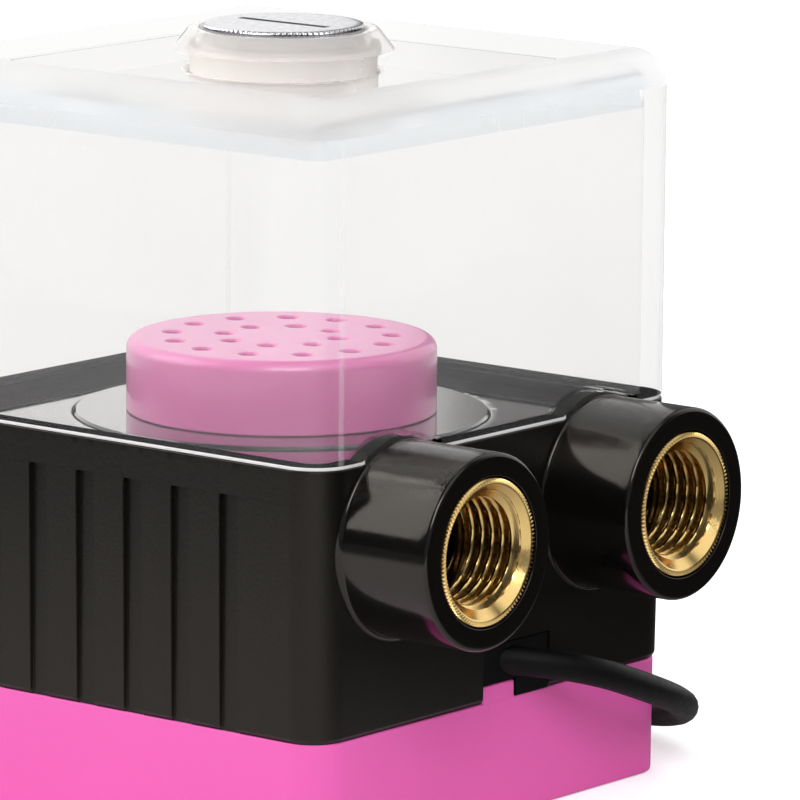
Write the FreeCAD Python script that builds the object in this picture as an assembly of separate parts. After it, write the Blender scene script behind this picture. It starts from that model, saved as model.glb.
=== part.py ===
import FreeCAD, Part
import math
import os
from FreeCAD import Rotation, Vector

# Pump and reservoir unit for a liquid cooling loop, in millimetres.
# Origin: pump axis at the underside of the base. +Z up, +X the way the ports point.

# Square outline shared by the base, the pump housing and the tank
body_side = 62.0
corner_radius = 4.5
wall = 2.5
base_height = 12.9
rim_height = 42.0
housing_draft = 0.35
housing_edge = 0.3
housing_edge_height = 0.5
base_inset = 0.05
base_draft = 0.05
pocket_inset = 0.5
fit_gap = 0.15
press_gap = 0.02

# Clear tank with its filling neck
gasket_thickness = 0.4
tank_height = 38.2
tank_roof = 3.2
tank_top_round = 4.0
tank_inner_round = 1.6
neck_radius = 10.3
neck_flare = 1.9
neck_rise = 2.4
neck_drop = 4.4
plug_pitch = 1.337
plug_radius = 6.5
plug_turns = 5
plug_bore_gap = 0.1
plug_head_radius = 8.8
plug_head_height = 2.3
plug_head_gap = 0.35
plug_head_proud = 0.5
plug_head_round = 0.4
plug_slot_width = 2.0
plug_slot_length = 12.0
plug_slot_depth = 1.1
plug_point = 0.8
seal_thickness = 1.0
seal_inner_gap = 0.3
seal_margin = 0.4

# Deck, cover over the pump chamber and the filter cap on it
deck_drop = 1.3
cover_radius = 22.7
cover_proud = 0.3
cover_thickness = 2.6
cover_chamfer = 0.25
eye_radius = 7.2
spider_hub_radius = 3.2
spider_arm_width = 1.6
spider_arms = 3
spider_roof = 0.8
filter_radius = 16.95
filter_height = 8.1
filter_wall = 2.0
filter_top = 2.2
filter_round = 1.3
filter_hole_radius = 1.0
filter_outer_ring = 12.1
filter_outer_count = 13
filter_outer_turn = -95.0
filter_inner_ring = 6.4
filter_inner_count = 8
filter_inner_turn = -109.0
spigot_height = 2.5
spigot_wall = 1.5

# Ports with brass inserts
port_margin = 13.8
port_drop = 8.7
port_reach = 11.4
boss_radius = 10.5
boss_round = 0.5
boss_root = 0.35
boss_fillet = 1.6
insert_radius = 8.0
insert_length = 8.0
insert_bore = 5.72
insert_mouth = 7.2
insert_chamfer = 1.48
passage_radius = 4.6
return_inner = 22.6
return_half_width = 4.6

# Ribbed sides
groove_count = 7
groove_pitch = 6.65
groove_width = 2.4
groove_depth = 0.75
groove_top_drop = 3.7
groove_centre = -1.5

# Pump chamber, impeller and rotor
chamber_height = 10.7
volute_tongue = 18.2
volute_growth = 0.75
impeller_radius = 16.4
impeller_lift = 0.7
shroud_thickness = 1.6
vane_height = 5.4
vane_thickness = 1.3
vane_count = 6
vane_inner = 6.0
vane_sweep = 46.0
vane_mid_share = 0.42
vane_setback = 0.2
hub_radius = 5.0
hub_rise = 1.2
hub_nose_wall = 0.8
magnet_radius = 10.2
magnet_overhang = 2.5
shaft_radius = 1.5
running_gap = 0.05
bush_radius = 3.0
bush_length = 5.0
hub_bore_gap = 0.9
washer_thickness = 0.6
washer_radius = 2.9
end_float = 0.3

# Rotor can that closes the chamber from below
can_plate_radius = 25.0
can_plate_thickness = 3.0
can_gasket_thickness = 0.5
can_gasket_margin = 0.15
can_gap = 0.6
can_wall = 1.2
can_floor = 1.5
can_shoulder = 13.4
shaft_socket = 1.0
can_screw_ring = 23.2
can_screw_turns = (20.0, 140.0, 260.0)
can_screw_radius = 0.9
can_screw_length = 6.5
can_screw_head = 1.7
can_screw_head_height = 1.3

# Stator and circuit board
stator_bore_gap = 0.4
stator_gap = 5.2
yoke_width = 3.4
tooth_width = 4.6
tooth_count = 6
shoe_thickness = 1.4
slot_opening = 2.6
bobbin_wall = 0.5
bobbin_flange = 0.6
winding_depth = 2.1
board_half = 24.5
board_corner = 10.5
board_thickness = 1.6
board_clear = 1.0
board_stand = 2.45
board_post_radius = 2.0
board_post_spread = 34.0
chip_size = (6.0, 5.0, 1.6)
sensor_size = (3.0, 4.0, 0.8)
switch_size = (4.0, 5.0, 1.6)
capacitor_size = (3.2, 1.6, 1.2)
regulator_size = (3.2, 2.5, 1.4)
component_column = 15.0
component_row = 17.0
component_step = 4.5

# Base cover and its screws
base_floor = 2.5
base_wall = 2.9
base_round = 0.35
lip_height = 1.8
lip_wall = 1.2
post_spread = 49.0
post_radius = 4.2
case_screw_radius = 1.5
case_screw_length = 16.0
case_screw_head = 2.8
case_screw_head_height = 2.0
counterbore_depth = 3.2
counterbore_gap = 0.4
screw_clearance = 0.2
recess_width = 0.8
recess_depth = 1.2
recess_reach = 1.8
tab_width = 5.5
tab_gap = 0.95
notch_end = 8.6
notch_margin = 0.3

# Lead, its coil and connector
cable_radius = 1.6
lead_start = (-5.2, -2.1, 17.3)
lead_exit = (1.0, 3.4, 16.85)
cable_free_route = (
    (36.2, 10.4, 15.0),
    (37.6, 19.2, 11.4),
    (36.8, 27.9, 7.4),
    (33.4, 35.9, 4.6),
    (26.6, 41.2, 3.0),
    (17.6, 42.9, 2.3),
    (4.6, 42.6, 2.2),
    (-9.0, 41.2, 2.2),
    (-22.5, 40.4, 2.2),
)
cable_tail_route = (
    (-22.5, 40.4, 8.0),
    (-31.0, 39.9, 6.9),
    (-39.5, 38.9, 4.5),
    (-47.5, 38.3, 3.4),
)
coil_centre = (-22.5, 57.6)
coil_radius = 17.2
coil_round = 1.3
tie_thickness = 0.6
tie_width = 4.0
tie_gap = 0.1
connector_size = (14.0, 9.6, 5.8)
connector_ways = 3
connector_pitch = 2.54
connector_cavity = 1.9
connector_cavity_depth = 9.0
connector_rib = 0.9
connector_rib_setback = 2.0
contact_wall = 0.25
contact_setback = 0.6
wire_radius = 0.6
wire_spread = 1.3
wire_lead_in = 1.8
grommet_flange = 0.8

# Heights and radii that follow from the sizes above
half = body_side / 2
inner_half = half - wall
inner_corner = corner_radius - wall
seam_half = half - housing_draft
deck_z = rim_height - deck_drop
cover_top_z = deck_z + cover_proud
cover_z = cover_top_z - cover_thickness
chamber_z = cover_z - chamber_height
can_plate_top_z = chamber_z - can_gasket_thickness
can_plate_z = can_plate_top_z - can_plate_thickness
can_inner = magnet_radius + can_gap
can_outer = can_inner + can_wall
tank_z = rim_height + gasket_thickness
tank_top_z = tank_z + tank_height
ceiling_z = tank_top_z - tank_roof
neck_top_z = tank_top_z + neck_rise
neck_bottom_z = ceiling_z - neck_drop
plug_bore = plug_radius + plug_bore_gap
plug_lift = plug_turns * plug_pitch
plug_head_z = neck_top_z + plug_head_proud - plug_head_height
seal_z = plug_head_z - seal_thickness
shank_bottom_z = seal_z - plug_lift
shroud_z = can_plate_top_z + impeller_lift
vane_top_z = shroud_z + shroud_thickness + vane_height
hub_top_z = vane_top_z + hub_rise
board_z = base_floor + board_stand
can_bottom_z = board_z + board_thickness + board_clear
can_inside_z = can_bottom_z + can_floor
magnet_z = can_inside_z + washer_thickness + end_float
stator_z = magnet_z + magnet_overhang
stator_top_z = can_plate_z - fit_gap - bobbin_wall - winding_depth
magnet_top_z = stator_top_z + magnet_overhang
stator_inner = can_outer + stator_bore_gap
pocket_half = inner_half - pocket_inset
pocket_corner = corner_radius - wall
stator_radius = pocket_half - stator_gap
port_height = rim_height - port_drop
port_face = half + port_reach
insert_inner = port_face - insert_length
insert_pocket = insert_radius + press_gap
port_sides = (port_margin - half, half - port_margin)
boss_flare = boss_radius + boss_root
notch_start = tab_width / 2 + fit_gap
tab_top_z = lead_start[2] - cable_radius - tab_gap
notch_top_z = lead_start[2] + cable_radius + notch_margin
exit_points = tuple((half + x, y, z) for x, y, z in (lead_start, lead_exit))
cable_route = exit_points + cable_free_route

UP = Vector(0, 0, 1)
ORIGIN = Vector(0, 0, 0)


def spin(shape, degrees):
    """Copy of a shape turned about the pump axis."""
    turned = shape.copy()
    turned.rotate(ORIGIN, UP, degrees)
    return turned


def polar(radius, angle):
    """Level vector of a given length, at an angle from +X."""
    return Vector(radius * math.cos(angle), radius * math.sin(angle), 0)


def ring_of(shape, count, start=0.0):
    """Equally spaced copies of a shape about the pump axis."""
    return [spin(shape, start + 360.0 * i / count) for i in range(count)]


def rod(radius, z0, z1, x=0.0, y=0.0):
    """Upright cylinder between two heights."""
    return Part.makeCylinder(radius, z1 - z0, Vector(x, y, z0))


def tube(outer, inner, z0, z1, x=0.0, y=0.0):
    """Upright ring between two heights."""
    return rod(outer, z0, z1, x, y).cut(rod(inner, z0, z1, x, y))


def port_rod(radius, x0, x1, y):
    """Cylinder along a port axis."""
    return Part.makeCylinder(radius, x1 - x0, Vector(x0, y, port_height), Vector(1, 0, 0))


def block(x0, x1, y0, y1, z0, z1):
    """Box between two corners."""
    return Part.makeBox(x1 - x0, y1 - y0, z1 - z0, Vector(x0, y0, z0))


def rounded_square(side_half, radius, z):
    """Wire round a square with arc corners, at height z."""
    flat = side_half - radius
    reach = flat + radius * math.sqrt(0.5)
    edges = []
    for quarter in range(4):
        turn = Rotation(UP, 90.0 * quarter)
        start = turn.multVec(Vector(side_half, -flat, z))
        end = turn.multVec(Vector(side_half, flat, z))
        middle = turn.multVec(Vector(reach, reach, z))
        after = turn.multVec(Vector(flat, side_half, z))
        edges.append(Part.LineSegment(start, end).toShape())
        edges.append(Part.Arc(end, middle, after).toShape())
    return Part.Wire(edges)


def square_prism(side_half, radius, z0, z1):
    """Upright block with rounded vertical edges."""
    face = Part.Face(rounded_square(side_half, radius, z0))
    return face.extrude(Vector(0, 0, z1 - z0))


def square_loft(sections):
    """Block through rounded squares given as (half side, corner radius, height)."""
    return Part.makeLoft([rounded_square(*section) for section in sections], True, True)


def lathe(points, about=UP):
    """Solid of revolution of a closed (radius, height) outline."""
    if about == UP:
        corners = [Vector(r, 0, z) for r, z in points]
    else:
        corners = [Vector(z, 0, r) for r, z in points]
    outline = Part.makePolygon(corners + corners[:1])
    return Part.Face(outline).revolve(ORIGIN, about, 360)


def edges_at(shape, z):
    """Edges that lie wholly at one height."""
    return [edge for edge in shape.Edges
            if abs(edge.BoundBox.ZMin - z) < 1e-4 and abs(edge.BoundBox.ZMax - z) < 1e-4]


def circles_at(shape, radius, z):
    """Round edges of one radius at one height."""
    found = []
    for edge in edges_at(shape, z):
        if isinstance(edge.Curve, Part.Circle) and abs(edge.Curve.Radius - radius) < 1e-4:
            found.append(edge)
    return found


def corner_places(spread):
    """Four places on the corners of a square."""
    return [(sx * spread / 2, sy * spread / 2) for sx in (-1, 1) for sy in (-1, 1)]


def round_path(points, label):
    """Straight runs joined by tangent arcs, as large as the runs allow."""
    places = [Vector(*p) for p in points]
    edges = []
    radii = []
    start = places[0]
    for before, corner, after in zip(places, places[1:], places[2:]):
        back = (before - corner).normalize()
        ahead = (after - corner).normalize()
        half_turn = (math.pi - back.getAngle(ahead)) / 2
        setback = 0.45 * min((before - corner).Length, (after - corner).Length)
        radius = setback / math.tan(half_turn)
        inward = (back + ahead).normalize()
        middle = corner + inward * (radius / math.cos(half_turn) - radius)
        enter = corner + back * setback
        leave = corner + ahead * setback
        edges.append(Part.LineSegment(start, enter).toShape())
        edges.append(Part.Arc(enter, middle, leave).toShape())
        radii.append(radius)
        start = leave
    edges.append(Part.LineSegment(start, places[-1]).toShape())
    print(label, "arc radii", [round(r, 1) for r in radii])
    return Part.Wire(edges)


def round_tube(points, radius, label):
    """Round bar along a rounded path."""
    path = round_path(points, label)
    heading = Vector(*points[1]) - Vector(*points[0])
    circle = Part.Wire(Part.Circle(Vector(*points[0]), heading, radius).toShape())
    bar = path.makePipeShell([circle], True, False)
    print(label, "length", round(path.Length, 1), "volume share",
          round(bar.Volume / (math.pi * radius ** 2 * path.Length), 4))
    return bar


def cross_recess(x, y, z, depth, reach):
    """Cutter for a cross drive in a screw head, open downwards."""
    w = recess_width / 2
    one = block(x - reach, x + reach, y - w, y + w, z, z + depth)
    other = block(x - w, x + w, y - reach, y + reach, z, z + depth)
    return one.fuse(other)


def make_tank():
    """Clear square tank, open below, with a flared filling neck in its roof."""
    outer = square_prism(half, corner_radius, tank_z, tank_top_z)
    outer = outer.makeFillet(tank_top_round, edges_at(outer, tank_top_z))
    inner = square_prism(inner_half, inner_corner, tank_z, ceiling_z)
    inner = inner.makeFillet(tank_inner_round, edges_at(inner, ceiling_z))
    neck = lathe([
        (0, neck_bottom_z), (neck_radius, neck_bottom_z), (neck_radius, ceiling_z),
        (neck_radius + neck_flare, tank_top_z), (neck_radius, neck_top_z), (0, neck_top_z),
    ])
    bore = rod(plug_bore, neck_bottom_z, neck_top_z)
    head_pocket = rod(plug_head_radius + plug_head_gap, seal_z, neck_top_z)
    arches = [port_rod(boss_flare + gasket_thickness, inner_half - wall, half + wall, y)
              for y in port_sides]
    return outer.cut(inner).fuse(neck).cut([bore, head_pocket] + arches).removeSplitter()


def make_tank_gasket():
    """Clear sealing ring between tank and housing rim, arched over the port bosses."""
    outer_half = half - fit_gap
    ring = square_prism(outer_half, corner_radius - fit_gap, rim_height, tank_z)
    ring = ring.cut(square_prism(inner_half, inner_corner, rim_height, tank_z))
    above = block(0, half, -half, half, rim_height, rim_height + boss_flare)
    for y in port_sides:
        arch = port_rod(boss_flare + gasket_thickness, inner_half, outer_half, y).common(above)
        ring = ring.fuse(arch).cut(port_rod(boss_flare, 0, half, y))
    return ring.removeSplitter()


def make_fill_plug():
    """Screw plug with a round head and a coin slot; the knurl is fine detail."""
    plug = lathe([
        (0, shank_bottom_z), (plug_radius - plug_point, shank_bottom_z),
        (plug_radius, shank_bottom_z + plug_point), (plug_radius, plug_head_z),
        (plug_head_radius, plug_head_z), (plug_head_radius, plug_head_z + plug_head_height),
        (0, plug_head_z + plug_head_height),
    ])
    top_z = plug_head_z + plug_head_height
    plug = plug.makeFillet(plug_head_round, circles_at(plug, plug_head_radius, top_z))
    slot = block(-plug_slot_length / 2, plug_slot_length / 2, -plug_slot_width / 2,
                 plug_slot_width / 2, top_z - plug_slot_depth, top_z)
    return plug.cut(slot)


def make_fill_plug_seal():
    """Flat ring under the plug's head."""
    return tube(plug_head_radius - seal_margin, plug_radius + seal_inner_gap, seal_z, plug_head_z)


def make_filter_cap():
    """Perforated cap over the pump inlet, open below."""
    top_z = cover_top_z + filter_height
    cap = rod(filter_radius, cover_top_z, top_z)
    cap = cap.makeFillet(filter_round, circles_at(cap, filter_radius, top_z))
    cap = cap.cut(rod(filter_radius - filter_wall, cover_top_z, top_z - filter_top))
    holes = []
    for ring, count, turn in ((filter_outer_ring, filter_outer_count, filter_outer_turn),
                              (filter_inner_ring, filter_inner_count, filter_inner_turn)):
        holes += ring_of(rod(filter_hole_radius, cover_top_z, top_z, ring), count, turn)
    return cap.cut(holes)


def make_volute_cover():
    """Round lid of the pump chamber with the inlet eye, a shaft spider and a spigot."""
    plate = rod(cover_radius, cover_z, cover_top_z)
    plate = plate.makeChamfer(cover_chamfer, circles_at(plate, cover_radius, cover_top_z))
    spigot_outer = filter_radius - filter_wall - fit_gap
    plate = plate.fuse(tube(spigot_outer, spigot_outer - spigot_wall,
                            cover_top_z, cover_top_z + spigot_height))
    plate = plate.cut(rod(eye_radius, cover_z, cover_top_z))
    arm = block(0, eye_radius + spigot_wall, -spider_arm_width / 2, spider_arm_width / 2,
                cover_z, cover_top_z)
    spider = rod(spider_hub_radius, cover_z, cover_top_z).fuse(ring_of(arm, spider_arms))
    socket = rod(shaft_radius + press_gap, cover_z, cover_top_z - spider_roof)
    return plate.fuse(spider).cut(socket).removeSplitter()


def volute_face(z):
    """Spiral outline of the chamber: quarter arcs whose radius grows with the turn."""
    edges = []
    centre = Vector(0, 0, z)
    radius = volute_tongue
    angle = -0.5 * math.pi
    start = centre + polar(radius, angle)
    first = start
    for quarter in range(4):
        middle = centre + polar(radius, angle + math.pi / 4)
        end = centre + polar(radius, angle + math.pi / 2)
        edges.append(Part.Arc(start, middle, end).toShape())
        angle += math.pi / 2
        centre = centre - polar(volute_growth, angle)
        radius += volute_growth
        start = end
    edges.append(Part.LineSegment(start, first).toShape())
    return Part.Face(Part.Wire(edges))


def make_pump_housing():
    """Moulded body: rim and deck above, pump chamber and ports within, motor pocket below."""
    body = square_loft([
        (seam_half - housing_edge, corner_radius, base_height),
        (seam_half, corner_radius, base_height + housing_edge_height),
        (half, corner_radius, rim_height),
    ])
    for y in port_sides:
        body = body.fuse([port_boss(y), boss_fillet_ring(y)])
    cuts = [square_prism(inner_half, inner_corner, deck_z, rim_height)]
    cuts.append(rod(cover_radius + fit_gap, cover_z, deck_z))
    cuts.append(volute_face(chamber_z).extrude(Vector(0, 0, chamber_height)))
    cuts.append(rod(can_plate_radius + fit_gap, can_plate_z, chamber_z))
    pocket = square_prism(pocket_half, pocket_corner, base_height, can_plate_z)
    posts = [rod(post_radius, base_height, can_plate_z, x, y) for x, y in corner_places(post_spread)]
    cuts.append(pocket.cut(posts))
    cuts += port_cuts()
    cuts += groove_cuts()
    cuts += [rod(case_screw_radius + press_gap, base_height, counterbore_depth + case_screw_length, x, y)
             for x, y in corner_places(post_spread)]
    for turn in can_screw_turns:
        hole = rod(can_screw_radius + press_gap, chamber_z, can_plate_z + can_screw_length, can_screw_ring)
        cuts.append(spin(hole, turn))
    cuts.append(block(pocket_half - wall, half + wall, -notch_start, notch_end, base_height, notch_top_z))
    return body.cut(cuts).removeSplitter()


def port_boss(y):
    """Round boss along +X with a rounded mouth, and a flared root that rises past the rim."""
    mouth = port_face - boss_round
    bend = math.sqrt(0.5)
    places = [
        Vector(inner_half, 0, 0), Vector(inner_half, 0, boss_flare), Vector(half, 0, boss_flare),
        Vector(half + boss_root, 0, boss_radius), Vector(mouth, 0, boss_radius),
        Vector(port_face, 0, boss_radius - boss_round), Vector(port_face, 0, 0),
    ]
    root_mid = Vector(half + boss_root * (1 - bend), 0, boss_flare - boss_root * bend)
    mouth_mid = Vector(mouth + boss_round * bend, 0, boss_radius - boss_round * (1 - bend))
    edges = [
        Part.LineSegment(places[0], places[1]).toShape(),
        Part.LineSegment(places[1], places[2]).toShape(),
        Part.Arc(places[2], root_mid, places[3]).toShape(),
        Part.LineSegment(places[3], places[4]).toShape(),
        Part.Arc(places[4], mouth_mid, places[5]).toShape(),
        Part.LineSegment(places[5], places[6]).toShape(),
        Part.LineSegment(places[6], places[0]).toShape(),
    ]
    boss = Part.Face(Part.Wire(edges)).revolve(ORIGIN, Vector(1, 0, 0), 360)
    boss.translate(Vector(0, y, port_height))
    return boss


def boss_fillet_ring(y):
    """Hollow round between a boss and the wall, which ends at the rim."""
    outer = boss_radius + boss_fillet
    bend = math.sqrt(0.5)
    places = [
        Vector(inner_half, 0, boss_radius), Vector(inner_half, 0, outer), Vector(half, 0, outer),
        Vector(half + boss_fillet, 0, boss_radius),
    ]
    middle = Vector(half + boss_fillet * (1 - bend), 0, outer - boss_fillet * bend)
    edges = [
        Part.LineSegment(places[0], places[1]).toShape(),
        Part.LineSegment(places[1], places[2]).toShape(),
        Part.Arc(places[2], middle, places[3]).toShape(),
        Part.LineSegment(places[3], places[0]).toShape(),
    ]
    ring = Part.Face(Part.Wire(edges)).revolve(ORIGIN, Vector(1, 0, 0), 360)
    ring.translate(Vector(0, y, port_height))
    return ring.common(block(0, port_face, -half, half, base_height, rim_height))


def port_cuts():
    """Insert pockets, the outlet from the chamber and the return path up to the deck."""
    outlet_y, inlet_y = port_sides
    cuts = [port_rod(insert_pocket, insert_inner, port_face, y) for y in port_sides]
    cuts.append(port_rod(passage_radius, 0, insert_inner, outlet_y))
    cuts.append(port_rod(passage_radius, return_inner, insert_inner, inlet_y))
    cuts.append(block(return_inner, pocket_half, inlet_y - return_half_width,
                      inlet_y + return_half_width, port_height, deck_z))
    return cuts


def groove_cuts():
    """Upright grooves on the two plain sides."""
    cuts = []
    for i in range(groove_count):
        x = groove_centre + (i - (groove_count - 1) / 2) * groove_pitch
        for side in (-1, 1):
            near = side * (half - groove_depth)
            far = side * (half + wall)
            cuts.append(block(x - groove_width / 2, x + groove_width / 2, min(near, far), max(near, far),
                              base_height, rim_height - groove_top_drop))
    return cuts


def make_port_insert(y):
    """Brass bush with a chamfered mouth; its thread is fine detail."""
    insert = lathe([
        (insert_bore, insert_inner), (insert_radius, insert_inner), (insert_radius, port_face),
        (insert_mouth, port_face), (insert_bore, port_face - insert_chamfer),
    ], Vector(1, 0, 0))
    insert.translate(Vector(0, y, port_height))
    return insert


def make_rotor_can():
    """Chamber floor with the thin-walled cup that the rotor runs in."""
    can = lathe([
        (0, can_bottom_z), (can_outer, can_bottom_z), (can_outer, stator_top_z),
        (can_shoulder, stator_top_z), (can_shoulder, can_plate_z),
        (can_plate_radius, can_plate_z), (can_plate_radius, can_plate_top_z),
        (can_inner, can_plate_top_z), (can_inner, can_inside_z), (0, can_inside_z),
    ])
    socket = rod(shaft_radius + press_gap, can_inside_z - shaft_socket, can_inside_z)
    screw_hole = rod(can_screw_radius + screw_clearance, can_plate_z, can_plate_top_z, can_screw_ring)
    return can.cut([socket] + [spin(screw_hole, turn) for turn in can_screw_turns])


def make_can_gasket():
    """Flat ring between can and housing."""
    inner = volute_tongue + 4 * volute_growth + can_gasket_margin
    ring = tube(can_plate_radius, inner, can_plate_top_z, chamber_z)
    hole = rod(can_screw_radius + screw_clearance, can_plate_top_z, chamber_z, can_screw_ring)
    return ring.cut([spin(hole, turn) for turn in can_screw_turns])


def make_can_screws():
    """Three small screws that hold the can."""
    screws = []
    for turn in can_screw_turns:
        shank = rod(can_screw_radius, can_plate_z, can_plate_z + can_screw_length, can_screw_ring)
        head = rod(can_screw_head, can_plate_z - can_screw_head_height, can_plate_z, can_screw_ring)
        screws.append(spin(shank.fuse(head), turn))
    return Part.makeCompound(screws)


def vane():
    """Backward-curved blade between two arcs."""
    foot_z = shroud_z + shroud_thickness
    outer = impeller_radius - vane_setback
    radii = (vane_inner, (vane_inner + outer) / 2, outer)
    sweeps = (0.0, -vane_mid_share * vane_sweep, -vane_sweep)
    sides = []
    for side in (-1, 1):
        points = []
        for radius, sweep in zip(radii, sweeps):
            angle = math.radians(sweep) + side * vane_thickness / (2 * radius)
            points.append(polar(radius, angle) + Vector(0, 0, foot_z))
        sides.append(points)
    left, right = sides
    edges = [
        Part.Arc(*left).toShape(),
        Part.LineSegment(left[2], right[2]).toShape(),
        Part.Arc(right[2], right[1], right[0]).toShape(),
        Part.LineSegment(right[0], left[0]).toShape(),
    ]
    return Part.Face(Part.Wire(edges)).extrude(Vector(0, 0, vane_height))


def make_impeller():
    """Open impeller with curved vanes, on a sleeve that carries the magnet."""
    bore = shaft_radius + hub_bore_gap
    pocket = bush_radius + press_gap
    low_pocket_z = magnet_z + bush_length
    high_pocket_z = hub_top_z - bush_length
    wheel = lathe([
        (bore, low_pocket_z), (pocket, low_pocket_z), (pocket, magnet_z), (hub_radius, magnet_z),
        (hub_radius, shroud_z), (impeller_radius, shroud_z),
        (impeller_radius, shroud_z + shroud_thickness), (hub_radius, shroud_z + shroud_thickness),
        (hub_radius, vane_top_z), (pocket + hub_nose_wall, hub_top_z),
        (pocket, hub_top_z), (pocket, high_pocket_z), (bore, high_pocket_z),
    ])
    return wheel.fuse(ring_of(vane(), vane_count)).removeSplitter()


def make_rotor_magnet():
    """Ring magnet on the impeller's sleeve."""
    return tube(magnet_radius, hub_radius + press_gap, magnet_z, magnet_top_z)


def make_rotor_bushes():
    """Two plain bearings in the ends of the sleeve."""
    bore = shaft_radius + running_gap
    low = tube(bush_radius, bore, magnet_z, magnet_z + bush_length)
    high = tube(bush_radius, bore, hub_top_z - bush_length, hub_top_z)
    return Part.makeCompound([low, high])


def make_shaft():
    """Fixed ceramic pin between can and spider."""
    return rod(shaft_radius, can_inside_z - shaft_socket, cover_top_z - spider_roof)


def make_thrust_washers():
    """Ceramic rings under and over the rotor."""
    bore = shaft_radius + running_gap
    low = tube(washer_radius, bore, can_inside_z, can_inside_z + washer_thickness)
    high = tube(washer_radius, bore, cover_z - washer_thickness, cover_z)
    return Part.makeCompound([low, high])


def make_stator_core():
    """Laminated ring with inward teeth and pole shoes."""
    yoke = tube(stator_radius, stator_radius - yoke_width, stator_z, stator_top_z)
    tooth = block(stator_inner + shoe_thickness / 2, stator_radius - yoke_width / 2,
                  -tooth_width / 2, tooth_width / 2, stator_z, stator_top_z)
    shoes = tube(stator_inner + shoe_thickness, stator_inner, stator_z, stator_top_z)
    slot = block(0, stator_inner + 2 * shoe_thickness, -slot_opening / 2, slot_opening / 2,
                 stator_z, stator_top_z)
    shoes = shoes.cut(ring_of(slot, tooth_count, 180.0 / tooth_count))
    return yoke.fuse(ring_of(tooth, tooth_count) + [shoes]).removeSplitter()


def tooth_frame(r0, r1, grow_inner, grow_outer):
    """Rectangular sleeve round one tooth, between two distances from its surface."""
    shapes = []
    for grow in (grow_outer, grow_inner):
        w = tooth_width / 2 + grow
        shapes.append(block(r0, r1, -w, w, stator_z - grow, stator_top_z + grow))
    return shapes[0].cut(shapes[1])


def bobbin_span():
    """Inner and outer radius that a bobbin may fill on its tooth."""
    reach = tooth_width / 2 + bobbin_wall + winding_depth
    yoke_inner = stator_radius - yoke_width
    outer = math.sqrt(yoke_inner ** 2 - reach ** 2) - fit_gap
    return stator_inner + shoe_thickness + fit_gap, outer


def make_stator_bobbins():
    """Plastic spools on the teeth."""
    r0, r1 = bobbin_span()
    rim = bobbin_wall + winding_depth
    spool = tooth_frame(r0, r1, press_gap, bobbin_wall)
    spool = spool.fuse([tooth_frame(r0, r0 + bobbin_flange, press_gap, rim),
                        tooth_frame(r1 - bobbin_flange, r1, press_gap, rim)]).removeSplitter()
    return Part.makeCompound(ring_of(spool, tooth_count))


def make_stator_windings():
    """Copper coils wound on the spools."""
    r0, r1 = bobbin_span()
    coil = tooth_frame(r0 + bobbin_flange, r1 - bobbin_flange, bobbin_wall,
                       bobbin_wall + winding_depth - fit_gap)
    return Part.makeCompound(ring_of(coil, tooth_count))


def make_circuit_board():
    """Square board with cut corners under the motor."""
    inner = board_half - board_corner
    places = []
    for quarter in range(4):
        turn = Rotation(UP, 90.0 * quarter)
        places.append(turn.multVec(Vector(board_half, -inner, board_z)))
        places.append(turn.multVec(Vector(board_half, inner, board_z)))
    outline = Part.makePolygon(places + places[:1])
    return Part.Face(outline).extrude(Vector(0, 0, board_thickness))


def make_board_components():
    """Driver chip, rotor sensor, power switches, capacitors and lead pads on the board."""
    z = board_z + board_thickness
    places = [
        (-component_column, -component_step, chip_size),
        (-component_column, component_step, regulator_size),
        (magnet_radius - sensor_size[0] / 2, 0, sensor_size),
    ]
    for side in (-1, 1):
        places.append((side * component_step, component_row, switch_size))
        places.append((side * component_step, -component_row, capacitor_size))
    return Part.makeCompound([block(x - w / 2, x + w / 2, y - d / 2, y + d / 2, z, z + h)
                              for x, y, (w, d, h) in places])


def make_base_cover():
    """Coloured base tray with screw posts, a locating lip and the tab that closes the lead notch."""
    top_half = seam_half - base_inset
    tray = square_loft([(top_half - base_draft, corner_radius, 0), (top_half, corner_radius, base_height)])
    tray = tray.makeFillet(base_round, edges_at(tray, 0))
    hollow_half = top_half - base_draft - base_wall
    tray = tray.cut(square_prism(hollow_half, corner_radius - base_wall, base_floor, base_height))
    places = corner_places(post_spread)
    tray = tray.fuse([rod(post_radius, 0, base_height, x, y) for x, y in places])
    tray = tray.fuse([rod(board_post_radius, base_floor / 2, board_z, x, y)
                      for x, y in corner_places(board_post_spread)])
    lip_half = pocket_half - fit_gap
    lip = square_prism(lip_half, pocket_corner, base_height - lip_height, base_height + lip_height)
    lip = lip.cut(square_prism(lip_half - lip_wall, pocket_corner, base_height - lip_height,
                               base_height + lip_height))
    clear = [rod(post_radius + fit_gap, base_height, base_height + lip_height, x, y) for x, y in places]
    clear.append(block(0, half, -notch_start - fit_gap, notch_end + fit_gap,
                       base_height, base_height + lip_height))
    tab = block(lip_half - lip_wall, top_half, -tab_width / 2, tab_width / 2,
                base_height - lip_height, tab_top_z)
    tray = tray.fuse([lip.cut(clear), tab])
    holes = [rod(case_screw_radius + screw_clearance, 0, base_height, x, y) for x, y in places]
    holes += [rod(case_screw_head + counterbore_gap, 0, counterbore_depth, x, y) for x, y in places]
    return tray.cut(holes).removeSplitter()


def make_case_screws():
    """Four long screws from the underside into the housing posts."""
    screws = []
    head_z = counterbore_depth - case_screw_head_height
    for x, y in corner_places(post_spread):
        screw = rod(case_screw_radius, counterbore_depth, counterbore_depth + case_screw_length, x, y)
        screw = screw.fuse(rod(case_screw_head, head_z, counterbore_depth, x, y))
        screws.append(screw.cut(cross_recess(x, y, head_z, recess_depth, recess_reach)))
    return Part.makeCompound(screws)


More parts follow.
